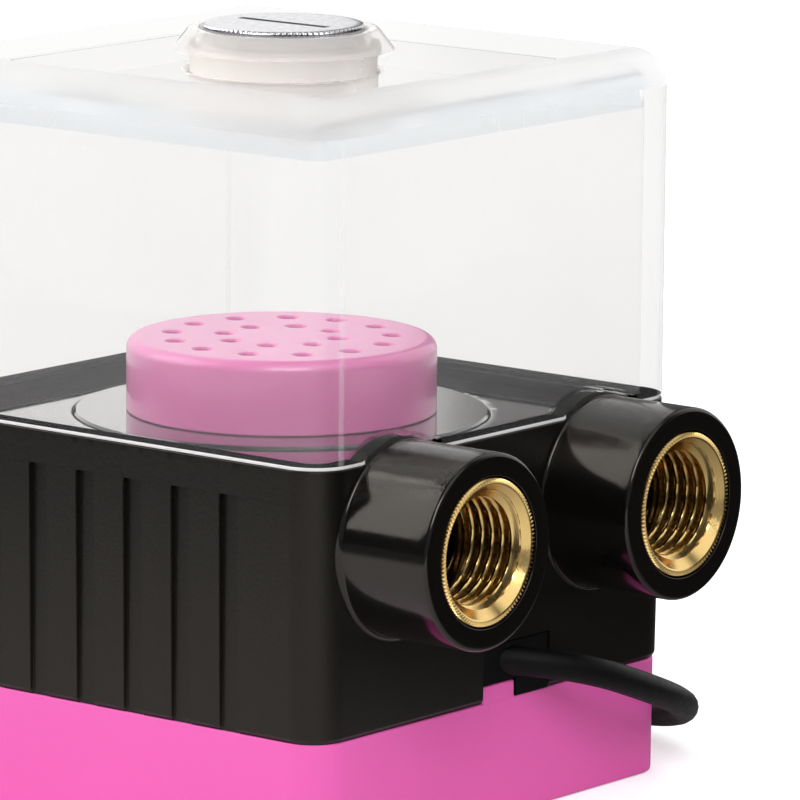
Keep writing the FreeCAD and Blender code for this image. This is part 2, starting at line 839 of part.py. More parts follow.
def make_cable_grommet():
    """Rubber block that fills the notch round the lead."""
    y0 = -notch_start + fit_gap
    y1 = notch_end - fit_gap
    top = notch_top_z - fit_gap
    outer_x = seam_half - base_inset
    plug = block(pocket_half, outer_x, y0, y1, base_height, top)
    flange = block(pocket_half - grommet_flange, pocket_half - fit_gap, y0 - grommet_flange,
                   y1 + grommet_flange, base_height + lip_height + fit_gap, top + grommet_flange)
    neck = block(pocket_half - fit_gap, pocket_half, y0, y1, base_height + lip_height + fit_gap, top)
    tab_space = block(0, half, y0 - fit_gap, tab_width / 2 + fit_gap, base_height, tab_top_z + fit_gap)
    bore = round_tube(cable_route[:3], cable_radius + press_gap, "grommet bore")
    return plug.fuse([neck, flange]).cut([tab_space, bore]).removeSplitter()


def make_lead_wires():
    """Cores that run from the lead's end down to the board."""
    start = Vector(*cable_route[0])
    heading = (Vector(*cable_route[1]) - start).normalize()
    bend = start - heading * wire_lead_in
    wires = []
    for i in range(connector_ways):
        offset = (i - (connector_ways - 1) / 2) * wire_spread
        across = Vector(-heading.y, heading.x, 0).normalize() * offset
        foot = Vector(bend.x, bend.y, board_z + board_thickness)
        points = [tuple(p + across) for p in (start, bend, foot)]
        wires.append(round_tube(points, wire_radius, "core"))
    return Part.makeCompound(wires)


def make_cable_coil():
    """Outer form of the two stacked turns."""
    x, y = coil_centre
    z0 = tie_thickness
    ring = tube(coil_radius + cable_radius, coil_radius - cable_radius, z0, z0 + 4 * cable_radius, x, y)
    rims = [edge for edge in ring.Edges if isinstance(edge.Curve, Part.Circle)]
    return ring.makeFillet(coil_round, rims)


def make_cable_tie():
    """Flat band round both turns at the far side of the coil."""
    x, y = coil_centre
    r0 = coil_radius - cable_radius - 3 * tie_gap
    r1 = coil_radius + cable_radius + tie_gap
    top = tie_thickness + 4 * cable_radius + tie_gap
    outer = block(x - tie_width / 2, x + tie_width / 2, y + r0 - tie_thickness, y + r1 + tie_thickness,
                  0, top + tie_thickness)
    return outer.cut(block(x - tie_width / 2, x + tie_width / 2, y + r0, y + r1, tie_thickness, top))


def connector_frame():
    """Rear face centre of the connector, where the lead enters, and its size."""
    x, y, z = cable_tail_route[-1]
    length, width, height = connector_size
    return x, y, z, length, width, height


def make_connector_housing():
    """Small plug body with open cavities and two latch ribs."""
    x, y, z, length, width, height = connector_frame()
    body = block(x - length, x, y - width / 2, y + width / 2, z - height / 2, z + height / 2)
    cuts = []
    ribs = []
    for i in range(connector_ways):
        way = y + (i - (connector_ways - 1) / 2) * connector_pitch
        c = connector_cavity / 2
        cuts.append(block(x - length, x - length + connector_cavity_depth, way - c, way + c, z - c, z + c))
    for side in (-1, 1):
        way = y + side * connector_pitch
        ribs.append(block(x - length, x - connector_rib_setback, way - connector_rib / 2,
                          way + connector_rib / 2, z + height / 2, z + height / 2 + connector_rib))
    return body.fuse(ribs).cut(cuts)


def make_connector_contacts():
    """Square metal sockets in the cavities."""
    x, y, z, length, width, height = connector_frame()
    c = connector_cavity / 2 - press_gap
    contacts = []
    for i in range(connector_ways):
        way = y + (i - (connector_ways - 1) / 2) * connector_pitch
        x0 = x - length + contact_setback
        x1 = x - length + connector_cavity_depth
        outer = block(x0, x1, way - c, way + c, z - c, z + c)
        d = c - contact_wall
        contacts.append(outer.cut(block(x0, x1 - contact_wall, way - d, way + d, z - d, z + d)))
    return Part.makeCompound(contacts)


nodes = {
    "reservoir_tank": make_tank(),
    "tank_gasket": make_tank_gasket(),
    "fill_plug": make_fill_plug(),
    "fill_plug_seal": make_fill_plug_seal(),
    "filter_cap": make_filter_cap(),
    "volute_cover": make_volute_cover(),
    "pump_housing": make_pump_housing(),
    "outlet_insert": make_port_insert(port_sides[0]),
    "inlet_insert": make_port_insert(port_sides[1]),
    "rotor_can": make_rotor_can(),
    "can_gasket": make_can_gasket(),
    "can_screws": make_can_screws(),
    "impeller": make_impeller(),
    "rotor_magnet": make_rotor_magnet(),
    "rotor_bushes": make_rotor_bushes(),
    "rotor_shaft": make_shaft(),
    "thrust_washers": make_thrust_washers(),
    "stator_core": make_stator_core(),
    "stator_bobbins": make_stator_bobbins(),
    "stator_windings": make_stator_windings(),
    "circuit_board": make_circuit_board(),
    "board_components": make_board_components(),
    "base_cover": make_base_cover(),
    "case_screws": make_case_screws(),
    "cable_grommet": make_cable_grommet(),
    "lead_wires": make_lead_wires(),
    "power_cable": round_tube(cable_route, cable_radius, "lead"),
    "cable_coil": make_cable_coil(),
    "cable_tail": round_tube(cable_tail_route, cable_radius, "tail"),
    "cable_tie": make_cable_tie(),
    "connector_housing": make_connector_housing(),
    "connector_contacts": make_connector_contacts(),
}

os.makedirs("parts", exist_ok=True)
for name, shape in nodes.items():
    box = shape.BoundBox
    spans = [(box.XMin, box.XMax), (box.YMin, box.YMax), (box.ZMin, box.ZMax)]
    print(f"{name:20s} solids {len(shape.Solids)} valid {shape.isValid()} volume {shape.Volume:9.1f}",
          "box", " ".join(f"{low:.2f}:{high:.2f}" for low, high in spans))
    shape.exportStep(f"parts/{name}.step")
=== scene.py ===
"""Looks of a square pump and reservoir unit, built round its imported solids."""
import math

import bmesh
import bpy
import numpy as np
from mathutils import Matrix, Vector


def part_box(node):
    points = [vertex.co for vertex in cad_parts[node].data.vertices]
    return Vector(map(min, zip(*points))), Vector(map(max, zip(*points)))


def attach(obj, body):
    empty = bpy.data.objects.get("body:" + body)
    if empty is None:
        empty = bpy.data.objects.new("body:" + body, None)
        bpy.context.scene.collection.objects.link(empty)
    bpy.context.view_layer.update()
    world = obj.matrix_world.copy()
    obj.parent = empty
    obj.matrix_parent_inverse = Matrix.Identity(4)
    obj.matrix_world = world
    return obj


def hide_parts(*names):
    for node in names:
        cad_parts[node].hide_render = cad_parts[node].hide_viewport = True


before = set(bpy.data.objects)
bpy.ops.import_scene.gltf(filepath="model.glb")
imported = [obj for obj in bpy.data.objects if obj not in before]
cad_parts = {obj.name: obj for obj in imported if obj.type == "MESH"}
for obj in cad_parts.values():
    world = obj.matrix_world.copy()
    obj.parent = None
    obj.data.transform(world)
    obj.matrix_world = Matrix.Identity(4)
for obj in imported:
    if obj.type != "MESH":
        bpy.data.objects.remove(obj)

bl_info = {
    "name": "Pump and reservoir looks",
    "version": (1, 0, 0),
    "blender": (4, 5, 0),
    "location": "3D View > Sidebar > Pump",
    "description": "Builds the detailed surfaces, materials and studio of a liquid cooling pump",
    "category": "Object",
}

MM = 0.001
TURN = 2 * math.pi
WELD = 2e-7


def corners_of(node):
    """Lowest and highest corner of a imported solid, in millimetres."""
    low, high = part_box(node)
    return np.array(low) / MM, np.array(high) / MM


TANK_LOW, TANK_HIGH = corners_of("reservoir_tank")
CAP_LOW, CAP_HIGH = corners_of("filter_cap")
PLUG_LOW, PLUG_HIGH = corners_of("fill_plug")
SEAL_LOW, SEAL_HIGH = corners_of("fill_plug_seal")
INSERT_LOW, INSERT_HIGH = corners_of("outlet_insert")
FAR_LOW, FAR_HIGH = corners_of("inlet_insert")
BASE_HIGH = corners_of("base_cover")[1]

# Square outline, in millimetres: the radius of a ring is measured from a square of half side FLAT
HALF = TANK_HIGH[0]
CORNER = 4.5
FLAT = HALF - CORNER
WALL = 2.5
INNER = CORNER - WALL
CORNER_STEPS = 10

# Clear tank, its joint and the frosted sleeve in its roof
TOP_Z = TANK_HIGH[2]
FOOT_Z = TANK_LOW[2]
FOOT_STEP = 0.4
FOOT_BAND = (0.3, 0.5)
ROOF_Z = TOP_Z - 2.4
CEILING_Z = ROOF_Z - 3.2
NECK_BOTTOM_Z = CEILING_Z - 4.4
NECK_R = 10.3
NECK_FOOT_R = 12.2
NECK_STEPS = 5
HEAD_POCKET_R = 9.15
HEAD_SEAT_Z = SEAL_LOW[2]
PLUG_BORE_R = 6.6
TOP_ROUND = 4.0
TOP_STEPS = 10
CEILING_ROUND = 1.9
CEILING_DROP = 3.3
CEILING_POINTS = 10
SLEEVE_IN = 0.4
SLEEVE_OUT = 0.1
JOINT_LIFT = 0.05
JOINT_INSET = 0.15
JOINT_LINE_GAP = 6.5
# Of these finishes, the milky corner strip is a painted highlight.
TANK_LOOKS = ("Clear tank", "Clear neck", "Clear round", "Clear ceiling edge", "Clear corner",
              "Clear corner line", "Clear roof", "Clear rim")

# Housing: the wall leans out from its skirt to the band above the grooves
SEAM_Z = corners_of("pump_housing")[0][2]
SKIRT_FOOT_R, SKIRT_R, DRAFT_R, BAND_R, UNDER_RIM_R = 3.85, 4.15, 4.25, 4.45, 4.48
SKIRT_TOP = 0.5
DRAFT_TOP = 8.0
RIM_Z = 42.0
DECK_Z = 40.7
COVER_SEAT_Z = 38.4
CHAMBER_Z = 27.7
CAN_SEAT_Z = 24.2
COVER_POCKET_R = 22.85
CAN_POCKET_R = 25.15
POCKET_HALF = 28.0
VOLUTE_START = 18.2
VOLUTE_GROWTH = 0.75
GROOVES = 7
GROOVE_X = tuple(-1.5 + 6.65 * (i - GROOVES // 2) for i in range(GROOVES))
GROOVE_TOP_Z = 38.3
GROOVE_HALF = 1.2
GROOVE_FLOOR = HALF - 0.75
GROOVE_EDGE = (-1.0, -0.45, 0.0, 0.35, 0.8)
POST_AT = 24.5
POSTS = tuple((x, y) for x in (-POST_AT, POST_AT) for y in (-POST_AT, POST_AT))
POST_R = 4.2
POST_BORE_R = 1.52
NOTCH_LOW = (25.5, -2.9, SEAM_Z - 3.0)
NOTCH_HIGH = (HALF + 3.0, 8.6, 19.2)
RETURN_X = (22.6, 28.0)
OUTLET_START_X = 2.0

# Ports
PORT_Z = (INSERT_LOW[2] + INSERT_HIGH[2]) / 2
PORT_YS = ((INSERT_LOW[1] + INSERT_HIGH[1]) / 2, (FAR_LOW[1] + FAR_HIGH[1]) / 2)
PORT_FACE = INSERT_HIGH[0]
INSERT_INNER = INSERT_LOW[0]
INSERT_R = (INSERT_HIGH[2] - INSERT_LOW[2]) / 2
BORE_R = 5.72
MOUTH_R = 7.2
MOUTH_DEPTH = 1.6
BOSS_R = 10.5
BOSS_FLARE = 10.85
BOSS_FILLET = 0.45
ARCH_R = 11.25
ARCH_REACH = 8.4
ARCH_POINTS = 43
PASSAGE_R = 4.6

# Filter cap: (ring radius, holes, first hole's angle) and wall thicknesses
FILTER_RINGS = ((12.1, 13, -95.0), (6.4, 8, -109.0))
FILTER_HOLE_R = 1.0
FILTER_WALL = 2.0
FILTER_TOP = 2.2

# Fill plug and base
SHANK_R = 6.5
SLOT_HALF = (6.2, 0.6)
SLOT_DEPTH = 0.6
BASE_FLOOR = 2.5
BASE_WALL = 2.95
BASE_MIDDLE_R = 16.0
SCREW_HEAD_R = 3.2
SCREW_HEAD_Z = 3.2
SCREW_R = 1.7
TAB_HALF = 2.75

# Lead, in millimetres: where it leaves, its way to the coil, and from the coil to the connector
LEAD_ROUTE = (
    (25.8, -2.1, 17.3), (32.0, 3.4, 16.85), (36.0, 10.4, 15.1), (36.6, 18.6, 12.0),
    (34.9, 26.4, 9.1), (31.2, 33.4, 6.4), (25.6, 38.6, 4.0), (17.6, 42.0, 2.5),
    (4.6, 42.6, 2.2), (-9.0, 41.2, 2.2),
)
COIL_CENTRE = (-22.5, 57.6)
COIL_R = 17.2
COIL_Z = 2.2
COIL_TURNS = 2
COIL_POINTS = 24
COIL_GAP = 0.05
CROSSING = 65.0
TAIL_ROUTE = (
    (-25.5, 40.3, 8.9), (-32.0, 39.8, 7.4), (-39.5, 38.9, 4.5), (-47.5, 38.3, 3.4),
)

# Camera: azimuth, elevation and roll in degrees; across, up and back in millimetres; focal length in pixels
CAMERA_TURN = (38.624, 10.347, 0.521)
CAMERA_PLACE = (12.962, 41.372, 754.653)
CAMERA_FOCUS = 6832.436
PICTURE = 800.0
SENSOR = 36.0

# Lamps: name, place, aim, size and power
LAMPS = (
    ("Key", (-0.72, -0.50, 0.66), (0.0, 0.0, 0.04), 0.9, 6.5),
    ("Side", (0.66, -0.66, 0.80), (0.0, 0.0, 0.03), 0.6, 6.2),
)


def length(millimetres):
    """Property for a length, stored in metres."""
    return bpy.props.FloatProperty(default=millimetres * MM, min=0.0, unit="LENGTH", precision=6)


def count(number):
    """Property for a whole number."""
    return bpy.props.IntProperty(default=number, min=1)


def tint(red, green, blue):
    """Property for a linear colour."""
    return bpy.props.FloatVectorProperty(default=(red, green, blue), min=0.0, max=1.0, subtype="COLOR")


class PumpSizes(bpy.types.PropertyGroup):
    """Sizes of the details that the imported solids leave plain."""

    thread_pitch: length(1.337)
    thread_depth: length(0.82)
    insert_knurl: length(0.3)
    insert_teeth: count(108)
    head_knurl: length(0.16)
    head_teeth: count(84)
    shank_depth: length(0.6)
    groove_round: length(0.14)
    hole_round: length(0.3)
    lead_diameter: length(3.2)


class PumpColours(bpy.types.PropertyGroup):
    """Linear colours of the finishes."""

    clear: tint(0.943, 0.940, 0.932)
    # Slightly greyer tint of the rounded top edge: painted shade, on top of its roughness.
    dense: tint(0.93, 0.933, 0.936)
    # Bluish tint of the ceiling edge, where the plastic is thicker: the blue band is painted refraction.
    ceiling: tint(0.757, 0.807, 0.863)
    # Corner arcs tinted a shade greyer than clear: painted shade of the corners seen edge-on.
    corner: tint(0.935, 0.935, 0.93)
    neck: tint(0.86, 0.84, 0.82)
    seal: tint(0.82, 0.80, 0.81)
    base: tint(0.91, 0.138, 0.505)
    cap: tint(0.54, 0.12, 0.325)
    black: tint(0.0035, 0.0030, 0.0026)
    inner: tint(0.004, 0.0045, 0.0055)
    rubber: tint(0.003, 0.003, 0.003)
    brass: tint(0.80, 0.56, 0.22)
    plated: tint(0.56, 0.56, 0.58)
    steel: tint(0.45, 0.45, 0.47)
    copper: tint(0.62, 0.24, 0.09)
    board: tint(0.015, 0.10, 0.035)
    nylon: tint(0.68, 0.66, 0.58)
    dark: tint(0.03, 0.03, 0.033)
    core: tint(0.35, 0.02, 0.015)


def outline(flat, stops):
    """Points of a square and the outward directions there, walking round it.

    A ring of the rounded square is point + radius * direction: on a side the direction is the
    side's normal, and at a corner the point stays and the direction turns through 90 degrees.
    stops gives the places along the +X, +Y, -X and -Y side, measured the way the walk goes.
    """
    turns = np.linspace(0.0, TURN / 4, CORNER_STEPS + 1)
    arc = np.stack([np.cos(turns), np.sin(turns)], 1)
    points = []
    directions = []
    for places, (c, s) in zip(stops, ((1, 0), (0, 1), (-1, 0), (0, -1))):
        turn = np.array([[c, s], [-s, c]], float)
        side = np.column_stack([np.full(len(places), flat), places])
        points.append(np.concatenate([side, np.full((len(arc), 2), flat)]) @ turn)
        directions.append(np.concatenate([np.tile([1.0, 0.0], (len(places), 1)), arc]) @ turn)
    return np.concatenate(points), np.concatenate(directions)


def angles_of(points, directions):
    """Angle about the pump axis of every place of an outline."""
    return np.arctan2(points[:, 1] + directions[:, 1], points[:, 0] + directions[:, 0])


def even_stops(step=2.5, limit=39.5):
    """Places along a side that are seen from the middle at even angles."""
    return FLAT * np.tan(np.radians(np.arange(-limit, limit + 0.01, step)))


def arched_stops():
    """Places along the four sides, closer together where the +X side arches over a port."""
    even = even_stops()
    arches = [y + np.linspace(-ARCH_REACH, ARCH_REACH, ARCH_POINTS) for y in PORT_YS]
    return np.unique(np.round(np.concatenate([even] + arches), 3)), even, even, even


def arch(rows, chosen, radius):
    """Lifts the chosen rows on the +X side to port height + root of (radius^2 - offset^2)."""
    on_side = rows[:, :, 0] > FLAT + 0.9 * INNER
    for y in PORT_YS:
        offset = rows[:, :, 1] - y
        over = PORT_Z + np.sqrt(np.maximum(0.0, radius ** 2 - offset ** 2))
        rows[:, :, 2] = np.where(chosen & on_side, np.maximum(rows[:, :, 2], over), rows[:, :, 2])


def square_rows(points, directions, profile):
    """Rings of the rounded square: point + radius * direction at each (radius, height)."""
    profile = np.asarray(profile, float)
    flat_rows = points[None] + profile[:, 0, None, None] * directions[None]
    heights = np.broadcast_to(profile[:, 1, None, None], flat_rows.shape[:2] + (1,))
    return np.concatenate([flat_rows, heights], 2)


def round_rows(angles, profile):
    """Rings round the pump axis: radius times (cos, sin) at each (radius, height)."""
    ring = np.stack([np.cos(angles), np.sin(angles)], 1)
    return square_rows(np.zeros_like(ring), ring, profile)


def unit(vector):
    """Vector of length 1."""
    return vector / np.linalg.norm(vector)


def bend(corners, steps):
    """Line through (a, b) corners, with an arc of the third number's radius in place of a corner."""
    places = np.array([corner[:2] for corner in corners], float)
    radii = [corner[2] if len(corner) > 2 else 0.0 for corner in corners]
    line = [places[0]]
    for before, at, after, radius in zip(places, places[1:], places[2:], radii[1:]):
        if radius <= 0.0:
            line.append(at)
            continue
        back = unit(before - at)
        ahead = unit(after - at)
        half = 0.5 * math.acos(np.clip(back @ ahead, -1.0, 1.0))
        centre = at + unit(back + ahead) * radius / math.sin(half)
        start = at + back * radius / math.tan(half) - centre
        end = at + ahead * radius / math.tan(half) - centre
        total = math.pi - 2 * half
        for share in np.linspace(0.0, 1.0, steps + 1):
            mixed = math.sin((1 - share) * total) * start + math.sin(share * total) * end
            line.append(centre + mixed / math.sin(total))
    line.append(places[-1])
    return np.array(line)


def round_angles(columns):
    """Even angles of a full turn."""
    return np.linspace(0.0, TURN, columns, endpoint=False)


def tables(profile, columns):
    """Radius and place along an axis of a (radius, along) profile, repeated for every column."""
    return (np.repeat(side[:, None], columns, 1) for side in np.asarray(profile, float).T)


def turned(profile, columns, axis="z", at=(0.0, 0.0)):
    """Surface of revolution of (radius, along) about the pump axis, or about a port axis along +X."""
    return swept(*tables(profile, columns), round_angles(columns), axis, at)


def swept(radius, along, angles, axis="z", at=(0.0, 0.0)):
    """Points from tables of radius and place along an axis, one column per angle.

    A point is radius * (cos, sin) across the axis and its own place along it.
    """
    first = at[0] + radius * np.cos(angles)[None]
    second = at[1] + radius * np.sin(angles)[None]
    return np.stack([first, second, along] if axis == "z" else [along, first, second], 2)


def oblong(inner, outer, low, high):
    """Profile of a plain ring or rod."""
    return [(inner, low), (outer, low), (outer, high), (inner, high)]


def zigzag(phase):
    """0 at the whole numbers of phase and 1 half-way between them."""
    return 1.0 - np.abs(2.0 * (phase % 1.0) - 1.0)


def smooth(value):
    """s^2 (3 - 2 s) of a value held between 0 and 1."""
    share = np.clip(value, 0.0, 1.0)
    return share * share * (3 - 2 * share)


def ridge(phase):
    """Thread form from 0 at a root to 1 at a narrow rounded crest, once per unit of phase."""
    share = np.clip((zigzag(phase) - 0.06) / 0.70, 0.0, 1.0)
    return smooth(share) * 0.35 + share * 0.65


def quads(rows, columns, close_rows):
    """Corner numbers of the faces of a grid whose columns close on themselves."""
    here = np.arange(rows * columns).reshape(rows, columns)
    if close_rows:
        here = np.concatenate([here, here[:1]])
    beside = np.roll(here, -1, 1)
    return np.stack([here[:-1], beside[:-1], beside[1:], here[1:]], 2).reshape(-1, 4)


def block(low, high, edge, step=15.0, bends=9):
    """Grid of a box with rounded edges: rings of a rounded rectangle, shrunk towards both ends."""
    low = np.asarray(low, float)
    high = np.asarray(high, float)
    reach = (high - low) / 2 - edge
    turns = np.radians(np.arange(0.0, 360.0, step) + step / 2)
    ring = np.stack([np.cos(turns), np.sin(turns)], 1)
    rows = []
    for turn in np.linspace(-TURN / 4, TURN / 4, bends):
        flat = np.sign(ring) * reach[:2] + edge * math.cos(turn) * ring
        z = math.copysign(reach[2], turn) if abs(turn) > 1e-6 else 0.0
        rows.append(np.column_stack([flat, np.full(len(flat), z + edge * math.sin(turn))]))
    rows = [rows[0] * [0.0, 0.0, 1.0]] + rows + [rows[-1] * [0.0, 0.0, 1.0]]
    return np.array(rows) + (low + high) / 2


def shell(name, grids, looks=()):
    """Mesh object from (points, closes, finish numbers) grids, welded, with the named finishes."""
    vertices = []
    faces = []
    numbers = []
    first = 0
    for points, close_rows, slots in grids:
        rows, columns = points.shape[:2]
        corners = quads(rows, columns, close_rows)
        strips = len(corners) // columns
        table = np.asarray(slots, int)
        if table.ndim:
            table = table[:strips].reshape(strips, -1)
        vertices.append(points.reshape(-1, 3) * MM)
        faces.append(corners + first)
        numbers.append(np.broadcast_to(table, (strips, columns)).ravel())
        first += rows * columns
    mesh = bpy.data.meshes.new(name)
    mesh.from_pydata(np.concatenate(vertices), [], np.concatenate(faces))
    mesh.polygons.foreach_set("material_index", np.concatenate(numbers))
    weld(mesh)
    for look in looks:
        mesh.materials.append(finishes()[look])
    made = bpy.data.objects.new(name, mesh)
    bpy.context.scene.collection.objects.link(made)
    return made


def weld(mesh):
    """Joins equal points, drops faces without area and turns every face outwards."""
    grown = bmesh.new()
    grown.from_mesh(mesh)
    bmesh.ops.remove_doubles(grown, verts=grown.verts, dist=WELD)
    bmesh.ops.dissolve_degenerate(grown, edges=grown.edges, dist=WELD)
    bmesh.ops.recalc_face_normals(grown, faces=grown.faces)
    grown.to_mesh(mesh)
    grown.free()


def cut(target, cutters):
    """Takes the cutters' volume out of a piece, by an exact Boolean that is then applied."""
    for cutter in cutters:
        step = target.modifiers.new("Cut", "BOOLEAN")
        step.operation = "DIFFERENCE"
        step.solver = "EXACT"
        step.object = cutter
    graph = bpy.context.evaluated_depsgraph_get()
    used = [target.data] + [cutter.data for cutter in cutters]
    target.data = bpy.data.meshes.new_from_object(target.evaluated_get(graph))
    target.data.name = target.name
    target.modifiers.clear()
    for mesh in used:
        bpy.data.meshes.remove(mesh)


def finish(piece, body, nodes, sharp=32.0):
    """Shading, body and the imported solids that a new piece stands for."""
    mesh = piece.data
    mesh.polygons.foreach_set("use_smooth", np.ones(len(mesh.polygons), bool))
    mesh.set_sharp_from_angle(angle=math.radians(sharp))
    weighted = piece.modifiers.new("Weighted normals", "WEIGHTED_NORMAL")
    weighted.keep_sharp = True
    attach(piece, body)
    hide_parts(*nodes)


class Nodes:
    """Short way to add and join shader nodes in one emptied tree."""

    def __init__(self, owner):
        owner.use_nodes = True
        self.tree = owner.node_tree
        self.tree.nodes.clear()

    def add(self, kind, inputs=None, **settings):
        """New node; an input is either another node's output or a constant."""
        node = self.tree.nodes.new(kind)
        for key, value in settings.items():
            setattr(node, key, value)
        for key, value in (inputs or {}).items():
            if isinstance(value, bpy.types.NodeSocket):
                self.tree.links.new(value, node.inputs[key])
            else:
                node.inputs[key].default_value = value
        return node

    def calc(self, operation, *values):
        """Result of one arithmetic step."""
        return self.add("ShaderNodeMath", dict(enumerate(values)), operation=operation).outputs[0]

    def blend(self, share, first, second):
        """Colour between two colours."""
        return self.add("ShaderNodeMix", {0: share, 6: first, 7: second}, data_type="RGBA").outputs[2]

    def ramp(self, value, start, end, low, high, kind="SMOOTHSTEP"):
        """Low at start, high at end, and held outside them."""
        return self.add("ShaderNodeMapRange", {"Value": value, "From Min": start, "From Max": end,
                                               "To Min": low, "To Max": high},
                        interpolation_type=kind).outputs["Result"]

    def along(self, place, direction):
        """Distance of a place along a direction."""
        return self.add("ShaderNodeVectorMath", {0: place, 1: direction},
                        operation="DOT_PRODUCT").outputs["Value"]


def opaque(colour, share=1.0):
    """Colour times a share, held at 1, with full alpha."""
    return tuple(min(1.0, c * share) for c in colour) + (1.0,)


def seen_straight(nodes, path):
    """1 for what the camera sees directly or through clear pieces, 0 for light that was scattered."""
    bounces = nodes.calc("ADD", path["Diffuse Depth"], path["Glossy Depth"])
    through = nodes.calc("MULTIPLY", path["Is Transmission Ray"], nodes.calc("LESS_THAN", bounces, 0.5))
    return nodes.calc("MAXIMUM", path["Is Camera Ray"], through)


def principled(nodes, colour, rough, metallic=0.0, grain=900.0, shade=0.1, spread=0.06, bump=0.02,
               lines=None, **inputs):
    """Procedural finish: noise over the piece varies its colour, roughness and relief.

    lines = (axis, spacing in metres, strength) adds fine turning marks along one axis, or round
    the pump axis with "R". Further settings are the shader's own inputs.
    """
    place = nodes.add("ShaderNodeTexCoord").outputs["Object"]
    noise = nodes.add("ShaderNodeTexNoise", {"Vector": place, "Scale": grain, "Detail": 4.0}).outputs["Fac"]
    cloud = nodes.add("ShaderNodeTexNoise", {"Vector": place, "Scale": 55.0, "Detail": 2.0}).outputs["Fac"]
    tone = nodes.blend(cloud, opaque(colour, 1.0 - shade), opaque(colour, 1.0 + shade))
    roughness = nodes.ramp(noise, 0.3, 0.7, max(0.0, rough - spread), rough + spread, "LINEAR")
    height = noise
    if lines:
        axis, spacing, strength = lines
        parts = nodes.add("ShaderNodeSeparateXYZ", {"Vector": place}).outputs
        if axis == "R":
            squares = [nodes.calc("MULTIPLY", parts[side], parts[side]) for side in "XY"]
            way = nodes.calc("POWER", nodes.calc("ADD", *squares), 0.5)
        else:
            way = parts[axis]
        wave = nodes.calc("SINE", nodes.calc("MULTIPLY", way, TURN / spacing))
        height = nodes.calc("ADD", nodes.calc("MULTIPLY", wave, strength), noise)
    relief = nodes.add("ShaderNodeBump", {"Height": height, "Strength": bump, "Distance": 0.0002})
    named = {key.title().replace("_", " ").replace("Ior", "IOR"): value for key, value in inputs.items()}
    return nodes.add("ShaderNodeBsdfPrincipled", {
        "Base Color": tone, "Roughness": roughness, "Metallic": metallic,
        "Normal": relief.outputs["Normal"], **named}).outputs["BSDF"]


def surface(name, *numbers, **settings):
    """Material with one procedural finish."""
    nodes = Nodes(bpy.data.materials.new(name))
    nodes.add("ShaderNodeOutputMaterial", {"Surface": principled(nodes, *numbers, **settings)})


def clear_surface(name, colour, rough, ior, milk, gloss, unbent=None):
    """Clear plastic: refraction, a trace of cloudiness, and lamps shine through it.

    With unbent, light also goes straight through where it enters (0) or leaves (1) the solid.
    """
    nodes = Nodes(bpy.data.materials.new(name))
    bent = principled(nodes, colour, rough, grain=60.0, shade=0.01, spread=rough * 0.5, bump=0.0,
                      transmission_weight=1.0 - milk, ior=ior, coat_weight=gloss, coat_ior=1.47,
                      coat_roughness=rough)
    straight = nodes.add("ShaderNodeLightPath").outputs["Is Shadow Ray"]
    veil = opaque(colour)
    if unbent is not None:
        side = nodes.add("ShaderNodeNewGeometry").outputs["Backfacing"]
        straight = nodes.calc("MAXIMUM", straight, nodes.calc("COMPARE", side, unbent, 0.5))
        veil = opaque((1.0,) * 3)
    through = nodes.add("ShaderNodeBsdfTransparent", {"Color": veil}).outputs["BSDF"]
    mix = nodes.add("ShaderNodeMixShader", {0: straight, 1: bent, 2: through})
    nodes.add("ShaderNodeOutputMaterial", {"Surface": mix.outputs["Shader"]})


